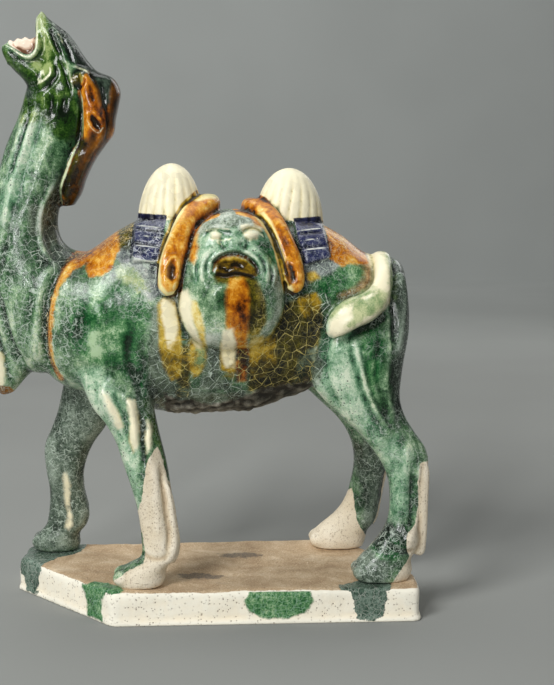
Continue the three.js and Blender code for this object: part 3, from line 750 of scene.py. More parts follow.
def split_long_edges(piece, longest):
    """Halves the edges over `longest` mm, so that glaze areas keep their outlines on plain surfaces."""
    mesh = bmesh.new()
    mesh.from_mesh(piece.data)
    chosen = [edge for edge in mesh.edges if edge.calc_length() > longest * MM]
    bmesh.ops.subdivide_edges(mesh, edges=chosen, cuts=1)
    bmesh.ops.triangulate(mesh, faces=mesh.faces)
    mesh.to_mesh(piece.data)
    mesh.free()


# Where the clay under the belly is left broken
ROCK = [(-31, 133), (-22, 128), (-4, 125), (11, 128), (27, 135), (43, 137), (56, 137), (58, 120), (38, 105),
        (-31, 105)]
# Lines that are both carved and tinted
NAPE_SEAM = [(-91, 259), (-98, 248), (-102.5, 236), (-103, 224), (-101, 216), (-93, 205)]
THROAT_GROOVE = [(-107.5, 299), (-110.5, 287), (-115, 273), (-120, 256)]
NECK_GROOVE = [(-99, 297), (-103, 284), (-107.5, 270), (-113, 254), (-117, 238)]
# (sides, width, height, line): the animal's own modelling
BODY_STROKES = [
    # nape seam and hair down the neck
    (BOTH, 1.6, 1.5, NAPE_SEAM),
    (BOTH, 2.4, -1.0, [(-88, 254), (-94, 243), (-97.5, 232), (-97.5, 222), (-95, 214)]),
    (BOTH, 2.5, 1.8, [(-103, 301), (-107, 288), (-112, 273), (-118, 256), (-122, 239), (-124, 222)]),
    (BOTH, 1.8, -1.1, THROAT_GROOVE),
    (BOTH, 1.9, 1.3, [(-110.5, 297), (-113.5, 285), (-117, 274), (-121, 261)]),
    (BOTH, 2.2, -0.9, NECK_GROOVE),
    (BOTH, 3.4, 0.6, [(-95, 287), (-98, 274), (-102, 260), (-107, 246), (-111, 232)]),
    (BOTH, 2.0, 0.9, [(-125, 228), (-128, 212), (-131, 196), (-133, 180)]),
    (BOTH, 1.7, -0.9, [(-121, 226), (-124, 210), (-128, 192), (-130, 176)]),
    # hair of the beard and its edge
    (BOTH, 1.7, -1.8, [(-127, 190), (-123, 170), (-118, 154), (-112, 144)]),
    (BOTH, 1.9, 1.2, [(-130, 186), (-127, 170), (-123, 155), (-118, 142)]),
    (BOTH, 1.4, -1.0, [(-131.5, 172), (-128, 158), (-124.5, 145), (-122, 134)]),
    (BOTH, 1.6, 0.9, [(-135, 170), (-132, 156), (-128.5, 143), (-125.5, 132)]),
    # edge of the neck over the shoulder
    (BOTH, 1.9, -2.0, [(-83, 213), (-90, 206), (-96, 194), (-99.6, 177), (-100, 159), (-97, 147),
                       (-89, 137)]),
    (BOTH, 3.4, 1.4, [(-89, 210), (-96, 204), (-102, 193), (-105, 177), (-105.5, 160), (-102, 147)]),
    (BOTH, 4.0, 1.2, [(-80, 206), (-87, 198), (-92, 187), (-94, 172), (-93, 156), (-89, 145)]),
    # haunch: buttock, thigh and the folds below the tail
    (BOTH, 3.0, 1.8, [(104, 213), (107.5, 203), (109.5, 193), (109.3, 181), (107, 166), (104, 150)]),
    (BOTH, 2.0, -2.2, [(103, 210), (103.4, 199), (102.6, 186), (103.5, 172), (103, 158)]),
    (BOTH, 1.7, 0.9, [(80, 162), (82, 154), (85, 143), (89, 131), (94, 121), (100, 111)]),
    (BOTH, 1.9, -0.7, [(76, 166), (79, 154), (82.6, 140), (87, 127), (92.5, 116), (97, 107)]),
    (BOTH, 1.5, -0.8, [(83.6, 158), (86, 146), (89.6, 133), (95, 122), (101, 113)]),
    (BOTH, 3.0, -1.6, [(99, 182), (95, 177), (88, 172.5), (80.5, 168), (73, 163)]),
    (BOTH, 2.8, 1.5, [(62, 178), (59, 165), (56.5, 153), (57, 142), (62, 130), (69, 119)]),
    (BOTH, 2.2, -1.3, [(67.5, 172), (64.5, 160), (63, 148), (66, 135), (73, 122)]),
    (BOTH, 2.6, 1.2, [(101, 166), (100, 154), (98.6, 142), (100, 129), (105, 117)]),
    (BOTH, 2.0, -1.0, [(95, 168), (93, 154), (93, 141), (96, 129)]),
    (BOTH, 2.6, 1.0, [(112, 105), (111, 92), (109, 76), (107, 60)]),
    # shoulder and forearm
    (BOTH, 6.0, 1.8, [(-64, 186), (-70, 172), (-68, 156), (-60, 144)]),
    (BOTH, 2.4, -1.3, [(-50, 172), (-52, 156), (-48, 142), (-44, 128)]),
    ((NEAR,), 2.3, 1.7, [(-67, 137), (-63.5, 129), (-60.5, 121), (-57, 113)]),
    ((NEAR,), 2.3, 1.8, [(-52, 132), (-50, 124), (-48.4, 114), (-48, 103)]),
    ((NEAR,), 1.9, -1.2, [(-60.5, 137), (-57, 127), (-53.5, 117), (-51, 106), (-48, 95)]),
    ((NEAR,), 1.7, 1.2, [(-41, 122), (-39.8, 112), (-40, 101), (-39.5, 92)]),
    ((NEAR,), 1.6, -1.1, [(-45.5, 124), (-44, 113), (-43.5, 102), (-42, 92)]),
    ((NEAR,), 2.2, 1.0, [(-75, 140), (-72, 128), (-67, 116), (-61, 104)]),
    # shank: the strip of the tendon and the cleft before it
    ((NEAR,), 1.5, -2.0, [(-33.4, 91), (-31.6, 78), (-30, 64), (-28.6, 49), (-30.5, 38)]),
    ((NEAR,), 2.0, 1.2, [(-30.6, 84), (-28.2, 70), (-26.6, 56), (-25, 44), (-28, 36)]),
    ((NEAR,), 2.6, 0.9, [(-38, 98), (-36.5, 80), (-35.5, 62), (-35, 48)]),
    ((NEAR,), 1.5, -1.2, [(-46, 41), (-40, 38.5), (-34, 38), (-29, 40)]),
    ((FAR,), 1.8, 1.4, [(-95.5, 74), (-94, 62), (-94.6, 50), (-93.4, 37)]),
    ((FAR,), 1.7, -1.6, [(-91.5, 76), (-89.6, 62), (-89.4, 48), (-88, 38)]),
    ((FAR,), 1.6, -1.0, [(-99.5, 72), (-98.6, 60), (-98.6, 48)]),
    ((FAR,), 1.6, -1.0, [(-108, 41), (-100, 37.5), (-92, 36), (-86, 38)]),
    # hind shank: rib beside the rod, fetlock
    ((NEAR,), 1.2, 1.2, [(118.4, 90), (118.2, 76), (117.8, 62), (116.6, 50)]),
    ((NEAR,), 1.4, -1.4, [(114.6, 88), (114.4, 74), (114, 60), (112.6, 50)]),
    ((NEAR,), 3.4, 1.6, [(113, 55), (113.6, 49), (113, 43)]),
    ((NEAR,), 1.6, -1.2, [(100, 44), (106, 40), (112, 38.5), (117, 40)]),
    ((FAR,), 1.6, -1.2, [(84, 62), (88, 50), (92, 42), (98, 37)]),
]
# The same for the head, the ear and the mane
HEAD_STROKES = [
    (BOTH, 0.9, -1.5, [(-95.6, 344), (-94, 339), (-92, 333.5), (-89.6, 328.5)]),
    (BOTH, 0.8, 0.9, [(-97.2, 342), (-95.8, 337), (-94, 332), (-92, 328)]),
    (BOTH, 0.9, 0.9, [(-93.8, 343.5), (-91.5, 338), (-89, 332), (-86.5, 326), (-84, 320)]),
    (BOTH, 1.0, -1.2, [(-89.4, 340), (-86, 334), (-83.8, 328), (-82.6, 322.6)]),
    (BOTH, 1.0, 0.8, [(-87.6, 340), (-84, 333.5), (-81.4, 327), (-80.6, 322.5)]),
    (BOTH, 1.1, -0.9, [(-90.5, 326), (-87.4, 319), (-85.4, 312.5), (-83.4, 306)]),
    (BOTH, 1.0, 1.1, [(-82.6, 322.4), (-79.6, 321.4), (-76, 320.2), (-73, 317.6)]),
    (BOTH, 0.9, -1.0, [(-83.2, 314.4), (-81.6, 318.6), (-78.2, 320), (-74.8, 318.4)]),
    (BOTH, 0.9, -0.9, [(-82.4, 312.4), (-79.4, 309.2), (-76.4, 311.6), (-74.8, 316)]),
    (BOTH, 1.4, 1.2, [(-103.5, 310.8), (-98.6, 314), (-94.6, 318), (-95.5, 324)]),
    (BOTH, 1.4, -1.0, [(-101.6, 307.6), (-96.6, 311), (-92.4, 316), (-92.4, 323)]),
    (BOTH, 2.4, -0.8, [(-95.2, 306), (-94.4, 302), (-94.8, 297), (-96, 292)]),
    (BOTH, 2.2, 0.9, [(-99.4, 307), (-99.4, 302), (-99.2, 297)]),
    (BOTH, 2.4, -0.9, [(-88.2, 305), (-88.6, 299.6), (-90, 294)]),
    (BOTH, 2.4, 0.6, [(-91.6, 308), (-91.4, 301), (-92, 294)]),
    # the head's edge before the mane
    (BOTH, 0.9, -0.7, [(-79.6, 308), (-78.6, 303), (-78.4, 296), (-78.8, 288), (-80.4, 281)]),
    # ear: rim and hollow
    (BOTH, 1.5, -1.9, [(-71.4, 292.6), (-69.8, 289.8), (-68.2, 287)]),
    (BOTH, 1.1, 1.0, [(-74, 296.5), (-73.6, 291), (-71.4, 286.4), (-68, 283.6)]),
    (BOTH, 1.1, 1.0, [(-71.6, 296.6), (-68.4, 293.4), (-66, 288.6), (-66.2, 285)]),
    (BOTH, 1.3, -1.2, [(-66.6, 312), (-64.6, 303), (-62.8, 294), (-62.4, 284), (-65.6, 275)]),
    (BOTH, 1.6, -0.6, [(-72, 314), (-71.6, 306), (-70.8, 300)]),
    # mane: pale edge and locks
    (BOTH, 1.1, 1.1, [(-79, 281), (-82.4, 274), (-86.4, 265), (-89, 257), (-91, 249), (-90, 243)]),
    (BOTH, 1.8, -0.5, [(-74, 281), (-77.6, 271), (-82, 260), (-85.4, 250)]),
]
# The same for the straps and the tiles
TRAPPING_STROKES = [
    (BOTH, 1.5, -2.4, [(-25.8, 200.4), (-25.6, 204), (-24.8, 208.6)]),
    (BOTH, 0.8, 0.9, [(-22.4, 199), (-22, 204), (-22.4, 210), (-24, 213), (-27, 211), (-29.4, 206),
                      (-29.6, 200)]),
    (BOTH, 1.3, 0.7, [(-31.6, 200), (-31.2, 208), (-28.4, 218), (-23.6, 228), (-17, 237)]),
    (BOTH, 1.0, -1.9, [(41, 197), (38.8, 206), (35.6, 217), (31.6, 227), (25.6, 235.4)]),
    (BOTH, 1.3, 0.9, [(38.4, 196), (35.6, 206), (32.2, 217), (28, 226.4), (22, 234)]),
    (BOTH, 1.3, -1.7, [(43.4, 199), (43, 204), (41.6, 209)]),
    (BOTH, 1.6, 0.7, [(47.4, 199), (47, 206), (44, 217), (39.6, 227), (33, 237)]),
    (BOTH, 0.8, -1.1, [(-48, 228.6), (-38, 228), (-30.6, 227)]),
    (BOTH, 0.8, -1.1, [(-49, 221), (-40, 220), (-32.4, 218.6)]),
    (BOTH, 0.8, -1.1, [(47, 225.4), (55, 226.2), (64, 226.6)]),
    (BOTH, 0.8, -1.1, [(48.6, 217.4), (56, 218.4), (65, 219)]),
]
# The same for the face on each bag
FACE_STROKES = [
    # brows, lids and eye slits
    (BOTH, 1.3, 1.5, [(-9.5, 227.6), (-5, 229.6), (1, 230), (6, 229.4), (9.4, 228)]),
    (BOTH, 1.4, 1.8, [(10, 228), (14, 230), (20, 231.2), (27, 229.6)]),
    (BOTH, 1.0, -1.4, [(-7.4, 223.6), (-5, 227), (-0.6, 228.4), (3.6, 226.4)]),
    (BOTH, 1.0, -1.5, [(14.2, 225.8), (17.6, 228.8), (23, 228.6), (26.8, 225)]),
    (BOTH, 0.8, -1.0, [(-4.4, 224.2), (-1, 223.4), (2.4, 224.4)]),
    (BOTH, 0.9, -1.0, [(15.4, 224.4), (20, 223), (24.8, 224.4)]),
    # wings of the nose
    (BOTH, 1.0, -1.5, [(3, 224), (2, 220.8), (4, 217.8)]),
    (BOTH, 1.0, -1.5, [(16.2, 223.4), (17.2, 220.2), (15.2, 217.2)]),
    # lips, tongue and the folds of the cheeks
    (BOTH, 1.5, 2.4, [(-4.1, 208.4), (-2.4, 212.8), (2.6, 216.1), (9.9, 217.7), (17.1, 216), (22.2, 212.7),
                      (25.5, 207.6), (26.6, 203.1)]),
    (BOTH, 1.1, -2.8, [(-2.5, 205), (-1.9, 209.9), (2, 213.2), (9.9, 214.9), (16.6, 213.2), (21.6, 208.7),
                       (23.3, 203.6)]),
    (BOTH, 1.1, -1.8, [(-0.8, 203.8), (4.8, 202.8), (10, 204.2), (17, 202.6), (22.8, 201.2)]),
    (BOTH, 0.9, -1.2, [(2, 207), (6, 205.8), (9.2, 208.6), (12, 208.4), (15.4, 205.4)]),
    (BOTH, 2.0, 1.6, [(2.7, 218.6), (-2.9, 216.9), (-7.4, 211.9), (-9.2, 204.6), (-8.1, 197.3)]),
    (BOTH, 2.0, 2.0, [(17.3, 218.5), (23.5, 216.2), (28, 211.2), (29, 204.4), (28.5, 197.2)]),
    (BOTH, 1.1, -1.2, [(2, 215.8), (-2.4, 214), (-5.4, 209.8), (-6.2, 203.6)]),
    (BOTH, 1.1, -1.2, [(18, 215.8), (23, 213.6), (26.6, 208.8), (27.6, 203)]),
    (BOTH, 1.1, 1.4, [(-11.6, 214.6), (-13.4, 208), (-13, 201)]),
    (BOTH, 1.0, -1.1, [(-10.4, 211), (-11.4, 205), (-11, 199)]),
    (BOTH, 1.1, 1.6, [(31.6, 209), (33.4, 203.4), (32, 197)]),
    (BOTH, 0.9, -1.2, [(30.2, 207), (31.2, 202.6), (30.4, 198)]),
]
# Short locks over the brow of the face
for start in np.linspace(-12, 29, 13):
    lean = (start - 8.5) / 9
    FACE_STROKES.append((BOTH, 0.8, -1.0, [(start, 232), (start + lean * 0.6, 235.4), (start + lean, 239)]))
# (height, middle x, middle height, half length, half height, and power where it isn't 2)
FACE_MOUNDS = [
    # eyes
    (1.6, -0.9, 225.4, 3.2, 2.2, 2.4),
    (2.0, 19.8, 225.4, 4.4, 2.8, 2.4),
    # nose, the rims of its nostrils and the nostrils
    (2.6, 9.6, 221, 5.2, 3.4),
    (1.2, 9.6, 227, 2.4, 4),
    (0.9, 5.4, 221, 2.1, 2),
    (0.9, 13.8, 220.5, 2.1, 2),
    (-2.4, 5.4, 221, 1.1, 1.1),
    (-2.4, 13.8, 220.5, 1.1, 1.1),
    # cheeks
    (1.0, -9, 214, 6, 7),
    (1.0, 28, 214, 6, 7),
    # mouth, chin and crown
    (-1.6, 10.4, 208.4, 11.5, 4.8, 3),
    (1.6, 10.6, 206.8, 8.4, 2.6),
    (1.2, 9, 192, 16, 9),
    (1.2, 9, 235.4, 15, 4.6),
]
# Places rubbed smooth: (rounds, middle and half sizes, sides, least distance outwards)
RUBBED = [
    (16, (8, 151, 27, 11), BOTH, 30),
    (24, (57, 28, 10, 8), (FAR,), 0),
    (14, (-120, 28, 10, 8), (FAR,), 0),
]


def face_on_bag(points):
    """The beast's face on each bag: how far each point moves outwards."""
    return sum(height * mound(points, *shape) for height, *shape in FACE_MOUNDS)


def on_bag(points, normals):
    """1 on the outside of the saddle bags, 0 elsewhere."""
    front, end, bottom, top = BAG_FACE
    x, y, z = points.T
    inside = (x > front) & (x < end) & (z > bottom) & (z < top)
    outer = np.abs(y) - BAG_FACE_OUTWARDS
    facing = np.sign(y) * normals[:, 1]
    return inside * np.clip(outer / 3, 0, 1) * np.clip(facing * 2.4 - 0.3, 0, 1)


def rough_clay(points, normals):
    """Broken, unsmoothed clay along the underside of the belly: how far each point moves out."""
    place = soft_field(points, [(1.0, 6, BOTH, ROCK)]) * np.clip(0.5 - normals[:, 2] * 1.6, 0, 1)
    return place * (1.1 * np.abs(waves(points, 21, 17, 1)) + 0.6 * np.abs(waves(points, 22, 7, 1)) - 0.9)


def sculpt(figure):
    """Rubs the joints of the forms smooth and carves every line of the modelling."""
    mesh = figure.data
    points, edges = read_points(mesh), read_edges(mesh)
    points = smoothed(points, edges, 2)
    for rounds, place, sides, outwards in RUBBED:
        where = on_sides(points, sides) & (np.abs(points[:, 1]) > outwards)
        points = smoothed(points, edges, rounds, False, mound(points, *place, 4) * where)
    write_points(mesh, points)
    normals = read_normals(mesh)
    bags = on_bag(points, normals)
    moved = carve(points, normals, BODY_STROKES + HEAD_STROKES + TRAPPING_STROKES)
    moved += rough_clay(points, normals)
    sideways = face_on_bag(points) + carve(points, normals, FACE_STROKES)
    points = points + normals * moved[:, None]
    points[:, 1] += np.sign(points[:, 1]) * sideways * bags
    write_points(mesh, smoothed(points, edges, 1, keep_volume=False))


# Where each glaze lies: (sides, outline seen from the side)
AREAS = {
    "cream": [
        (BOTH, [(-48, 234), (-46, 252), (-38, 270), (-18, 270), (-9, 254), (-6, 234), (-20, 233.5),
                (-34, 233)]),
        (BOTH, [(22, 234), (27, 254), (36, 267), (52, 266), (62, 252), (66, 232), (50, 232), (36, 233)]),
    ],
    "cream_run": [
        ((NEAR,), [(90, 212), (93, 217), (99, 218), (102.5, 213), (103, 204), (103.2, 196), (101.6, 186),
                   (97, 180.6), (90, 176.6), (83, 173), (77, 170), (72, 167), (67.6, 166), (64, 168.6),
                   (64, 174.4), (67, 181), (72, 186.6), (79, 189.2), (86.4, 193), (90.4, 198), (90.4, 206)]),
        (BOTH, [(-21, 194), (-16.6, 194.5), (-14.4, 187.6), (-14.8, 179.6), (-12, 171.6), (-8.6, 162.3),
                (-9.6, 157), (-13.6, 163), (-18.6, 173.9), (-21.6, 181.9), (-22.6, 188.8)]),
        (BOTH, [(3.1, 171.8), (8.4, 173), (10.3, 165), (10.6, 155.8), (9.3, 148.6), (4, 148.6),
                (2.2, 159.3)]),
        (BOTH, [(13.6, 231), (18, 231.6), (25.8, 229.6), (25.3, 227.2), (18.5, 228.2), (14.6, 228.2)]),
        (BOTH, [(15.8, 227), (20.4, 228), (23.8, 226), (23, 223.2), (18.5, 222.4), (15.8, 224.6)]),
        (BOTH, [(-3.6, 226.6), (-0.6, 227.8), (2, 226), (1.4, 223.4), (-2.6, 223.2)]),
        # on the bag's front edge: a pale cream run, partly a painted highlight of glints
        (BOTH, [(-32, 189), (-26, 189), (-23, 181.3), (-22.6, 172), (-24.4, 162), (-27.4, 156), (-29.4, 166),
                (-32, 178)]),
        ((NEAR,), [(-66, 135), (-62, 132), (-57, 123), (-54.5, 114), (-58, 113), (-61, 121), (-64.6, 129)]),
        ((NEAR,), [(-52.4, 131), (-48, 130), (-45, 118), (-46, 103), (-49.6, 99), (-51.4, 107),
                   (-50.6, 117)]),
        ((NEAR,), [(-41, 118), (-38.4, 116), (-38.8, 103), (-41, 99), (-42, 107)]),
        ((FAR,), [(-96, 73), (-94, 73.6), (-92, 65), (-93, 53), (-91, 39), (-93.4, 35), (-96, 37), (-94, 45),
                  (-96, 56)]),
        (BOTH, [(-134, 158), (-127, 154), (-126, 142), (-127, 134), (-136, 133), (-143, 143)]),
    ],
    "amber": [
        (BOTH, [(-80, 307), (-76, 316), (-72, 319.4), (-64, 320), (-54, 315), (-52, 305), (-58, 285),
                (-68, 265), (-76, 251), (-80, 238), (-91, 238), (-91.6, 251), (-88, 261), (-83, 274),
                (-78.6, 281), (-77.6, 288), (-77.4, 297), (-78.6, 304)]),
        (BOTH, [(-44, 242), (-46, 233), (-49, 223), (-54, 220), (-57, 215), (-60, 206), (-67, 201.6),
                (-74, 200), (-76, 208), (-83, 204), (-90, 196), (-93, 187), (-94.6, 176), (-96, 162),
                (-94.4, 150), (-90, 139), (-93, 138), (-98, 150), (-99.6, 162), (-99, 176), (-96, 188),
                (-93, 197), (-90, 206), (-86, 212), (-81, 216), (-74, 220), (-67, 227), (-60, 232),
                (-52, 242)]),
        (BOTH, [(63, 242), (67, 236), (76, 228), (84, 222), (89, 216), (89.4, 208), (84, 207), (78, 208),
                (73, 206), (69, 209), (65, 211), (65, 222)]),
    ],
    "amber_run": [
        (BOTH, [(7.6, 201.5), (14.9, 201.8), (18, 194.1), (17.5, 178.3), (17, 165.8), (18, 156.4),
                (16.8, 140.2), (11.5, 139.6), (11, 153), (10.6, 163), (8, 170), (4.7, 172.7), (5, 186.3),
                (4.8, 194.1)]),
        (BOTH, [(-16, 211), (-15, 220), (-11, 226), (-10.6, 217), (-13, 209)]),
        (BOTH, [(20.9, 233.4), (26.4, 232.8), (26.6, 229.4), (22, 230)]),
    ],
    "gold": [
        (BOTH, [(-0.8, 209.8), (2.6, 212.6), (9.9, 213.7), (16.6, 211.4), (21.7, 206.4), (22.8, 202.4),
                (17.2, 201), (10.4, 202.7), (4.8, 201.6), (-0.8, 202.2)]),
    ],
    "strap": [
        (BOTH, [(4, 250), (-3, 252), (-12, 250), (-20, 243), (-26.6, 232), (-32, 218), (-34.6, 207),
                (-34, 196), (-27, 189), (-20, 193), (-18.4, 207), (-13.6, 223), (-8, 232), (2, 236)]),
        (BOTH, [(10, 248), (19, 251), (30, 246), (40, 234), (46.6, 220), (50.6, 207), (50.6, 196), (44, 190),
                (38.4, 193), (35.6, 204), (32.6, 218), (27, 229), (19, 235), (11, 237)]),
    ],
    "strap_rim": [
        (BOTH, [(-15, 245), (-10, 250), (-3, 252), (4, 250), (3, 245), (-4, 245.6), (-10, 244)]),
        (BOTH, [(-12, 250), (-20, 243), (-26.6, 232), (-32, 218), (-34.6, 207), (-33, 195), (-27, 189.6),
                (-22, 192), (-23.6, 194), (-28.4, 193), (-31.8, 198), (-32.4, 207), (-30, 217), (-25, 228.6),
                (-18, 240)]),
        (BOTH, [(28, 238), (32, 233), (35.4, 224), (39, 212), (41.6, 200), (43.6, 193.6), (42, 190),
                (38.6, 192), (36, 204), (33, 217), (28.6, 227), (22, 236)]),
    ],
    "cobalt": [
        (BOTH, [(-47.6, 237), (-28.6, 236), (-33.6, 209.6), (-50, 213)]),
        (BOTH, [(45.6, 234), (62.6, 235), (66.6, 212), (49.6, 207)]),
    ],
    "grey_scales": [
        (BOTH, [(-57, 219), (-51, 219), (-34, 211), (-31, 192), (-39, 187), (-45, 196), (-53, 205),
                (-58, 212)]),
        (BOTH, [(49, 210), (66, 213), (72, 208), (66, 202), (56, 200), (50, 196)]),
    ],
    "olive": [
        (BOTH, [(17, 200), (24, 198), (27.6, 188), (28, 176), (24, 168), (18, 168)]),
        (BOTH, [(-84, 314), (-82.4, 317.4), (-79.4, 318.4), (-76.6, 317), (-75.8, 314), (-77, 311),
                (-80, 310), (-83, 311.4)]),
        (BOTH, [(-1.9, 203.1), (4.8, 203.6), (16.1, 203), (22.8, 200.7), (25, 191.7), (22.2, 180.4),
                (19.2, 168), (16.6, 168), (16, 189.5), (14.9, 197.4), (4.8, 198.6), (-0.8, 198.6)]),
        (BOTH, [(38, 184), (48, 190), (58, 188), (62, 176), (59, 160), (57, 150), (56, 138), (46, 134),
                (30, 132), (18, 130), (18, 168), (30, 168)]),
        (BOTH, [(-22.5, 163), (-16, 163), (-15.4, 146), (-16.6, 130), (-24, 130), (-24, 148)]),
    ],
    "ash": [
        (BOTH, [(-36, 188), (-32.6, 188), (-32.4, 160), (-26, 144), (-22, 136), (-7, 134), (6, 132),
                (20, 133), (44, 137), (58, 138), (56, 124), (30, 116), (-20, 112), (-40, 122), (-40, 150)]),
        (BOTH, [(-8.2, 170), (2, 170), (2.6, 144), (9, 134), (-11.3, 134), (-7.7, 147.6)]),
        (BOTH, [(31.2, 205.6), (37, 198.8), (38.1, 188.5), (36.4, 178.1), (30.1, 170.1), (25, 165),
                (25, 170.2), (31.2, 179.3), (33.5, 188.5), (31.2, 197.7)]),
        (BOTH, [(-12.4, 223), (-10.8, 233), (-6.1, 239), (2.9, 242), (14.7, 241), (26, 237), (28.4, 227.4),
                (19.7, 229), (11.8, 230), (2.8, 229), (-5.1, 227.6)]),
        (BOTH, [(-109.2, 242), (-101.1, 242), (-100.3, 224), (-108.4, 224)]),
        (BOTH, [(45.8, 138.4), (48.1, 156), (57.4, 160.6), (62, 150), (60, 136)]),
    ],
    "rock": [(BOTH, ROCK)],
    "sap": [
        ((NEAR,), [(78, 187), (86, 190), (94, 194), (99, 191), (97, 184), (88, 178.4), (78, 173), (73, 171),
                   (77, 179)]),
        ((NEAR,), [(99.6, 214), (105, 212), (105, 186), (99.6, 190)]),
        (BOTH, [(-58, 207), (-51, 208.6), (-42, 201), (-40, 194), (-44, 192), (-51, 197), (-57.6, 201)]),
        ((NEAR,), [(62, 180), (70, 187), (80, 190), (90, 195), (91, 192), (80, 187), (72, 183), (66, 176)]),
        ((NEAR,), [(-13, 160), (-8, 160), (-6, 152), (-12, 146)]),
    ],
    "straw": [
        (BOTH, [(-34, 186), (-31, 190), (-24, 188), (-21, 178), (-20.6, 156), (-21.6, 143), (-26.2, 140),
                (-31, 149), (-33.4, 160)]),
        (BOTH, [(-14.9, 189), (-11.5, 188), (-8.2, 177.6), (-6.4, 163.8), (-6, 153), (-9, 146), (-13.5, 141),
                (-16.4, 148), (-16, 166), (-12.4, 164), (-10.5, 168), (-13.9, 176.5), (-15.5, 182.2)]),
        (BOTH, [(2, 164), (11, 164), (10.6, 147), (8.6, 138), (4, 138), (1.6, 150)]),
        (BOTH, [(18.9, 164.9), (25.8, 168), (28.6, 157.8), (27, 142.7), (21.1, 140), (18.2, 152.1)]),
        (BOTH, [(46, 190), (58.5, 192), (60.8, 183.9), (56.2, 176.8), (49, 178)]),
        (BOTH, [(28, 166), (33.6, 166), (34, 150), (28.6, 147)]),
        (BOTH, [(-73, 211), (-68.4, 213.4), (-64.4, 211), (-61.7, 206.5), (-64.6, 202), (-69.7, 201.4),
                (-73.6, 205.4)]),
        (BOTH, [(50, 203), (57, 204), (60, 200), (53, 197.6)]),
    ],
    "bright_green": [
        (BOTH, [(58, 200), (66, 203), (77, 208), (87, 210), (90, 204), (84, 197), (74, 191), (64, 187),
                (57, 191)]),
        (BOTH, [(86, 172), (94, 175), (97, 161), (95, 143), (91, 132), (86, 146), (83, 161)]),
        (BOTH, [(22, 221), (30, 222), (34, 216), (34.4, 207), (29.8, 208), (25.3, 215)]),
        ((NEAR,), [(104, 54), (112, 47), (112, 38), (102, 34), (92, 36), (90, 41), (98, 44)]),
        ((NEAR,), [(-46, 136), (-37, 138), (-31, 112), (-27, 84), (-24, 62), (-28, 78), (-34, 96),
                   (-38, 112)]),
        (BOTH, [(-80, 189), (-67, 197), (-50, 196), (-42, 190), (-38, 178), (-46, 160), (-42, 150),
                (-38, 138), (-41, 128), (-49, 140), (-60, 150), (-74, 151), (-84, 160), (-85, 177)]),
    ],
    "dark_grey": [
        (BOTH, [(-97, 254), (-90, 259), (-88, 240), (-91, 226), (-90, 215), (-78, 210), (-80, 200),
                (-92, 200), (-99, 208), (-103, 221), (-102, 236)]),
        # rump and back of the thigh: painted shade, a darker glaze on the side turned from the light
        (BOTH, [(102, 216), (114, 216), (120, 190), (118, 150), (106, 112), (101, 128), (102, 157),
                (103, 181)]),
        ((FAR,), [(-120, 140), (-56, 140), (-52, 100), (-70, 20), (-128, 20), (-124, 60), (-112, 80)]),
        ((FAR,), [(50, 140), (110, 140), (120, 20), (92, 20), (92, 60), (76, 100)]),
        ((NEAR,), [(78, 50), (90, 62), (104, 60), (108, 48), (104, 34), (96, 12), (70, 12), (74, 34)]),
    ],
    "brown": [
        (BOTH, [(-64.4, 324), (-59.8, 322), (-55, 316.5), (-54, 307), (-56, 297), (-60, 286.5), (-65, 276),
                (-69, 268), (-71, 270), (-68.6, 277), (-65, 285.4), (-62, 293.5), (-61, 302.7),
                (-62.3, 310.7)]),
        (BOTH, [(-68, 286), (-69.7, 276), (-73.4, 268), (-77, 261), (-79.4, 253), (-80, 245), (-82, 240),
                (-86.6, 240.7), (-87.4, 246), (-85.6, 254), (-82.4, 264.5), (-78.6, 273.8), (-74, 281)]),
        (BOTH, [(-73.7, 318.7), (-68, 317.6), (-64.6, 312), (-63.5, 304), (-65.4, 297), (-67.6, 302),
                (-69.6, 309), (-72, 314)]),
    ],
    "fawn": [
        (BOTH, [(82, 213), (89, 213), (92, 206), (90.4, 198), (86, 193), (79, 190), (73, 187.6), (71, 190),
                (80, 194), (86, 199), (87, 205), (82, 209)]),
    ],
    "dark_top": [
        (BOTH, [(-98, 354), (-90, 349), (-83, 338), (-76, 327), (-69, 321.6), (-62, 319.6), (-66, 315),
                (-76, 316), (-80.6, 321), (-83.6, 326), (-88, 334), (-91.6, 341), (-95, 347)]),
        (BOTH, [(-114, 309), (-118, 318), (-121, 322), (-118, 322), (-110, 313), (-105, 306), (-109, 303)]),
    ],
    "mint": [
        (BOTH, [(60, 180), (78, 168), (88, 160), (84, 140), (90, 122), (100, 104), (92, 92), (76, 98),
                (62, 112), (54, 130), (54, 160)]),
        (BOTH, [(-14, 222), (-4, 234), (20, 234), (32, 222), (34, 206), (26, 196), (22, 206), (8, 214),
                (-4, 206), (-12, 196), (-17, 206)]),
        ((NEAR,), [(-82, 146), (-68, 150), (-56, 132), (-46, 100), (-46, 66), (-52, 60), (-60, 84),
                   (-74, 110), (-86, 136)]),
        (BOTH, [(-108, 300), (-100, 298), (-104, 276), (-112, 250), (-122, 230), (-132, 232), (-120, 264)]),
        ((NEAR,), [(90, 100), (104, 108), (114, 96), (114, 60), (100, 56), (98, 80)]),
    ],
    "deep_green": [
        (BOTH, [(-127, 336), (-118, 331), (-108, 325), (-103, 330), (-105, 344), (-103, 355), (-97, 354),
                (-93, 343), (-86, 324), (-81, 308), (-77, 296), (-78, 281), (-84, 276), (-94, 282),
                (-101, 292), (-112, 286), (-118, 300), (-128, 320)]),
        ((NEAR,), [(-44, 130), (-37, 130), (-30, 104), (-26, 78), (-24, 60), (-28, 76), (-33, 96),
                   (-39, 112)]),
    ],
    "mane_edge": [
        (BOTH, [(-78.4, 281), (-81.6, 274), (-86, 263), (-90.6, 251), (-89.6, 243), (-86.4, 244),
                (-84.4, 254), (-80.6, 265), (-76.4, 274), (-74.6, 280)]),
        (BOTH, [(-58, 226), (-51, 238), (-45, 241), (-46, 229), (-50, 216), (-56, 217)]),
    ],
    "crown_gap": [
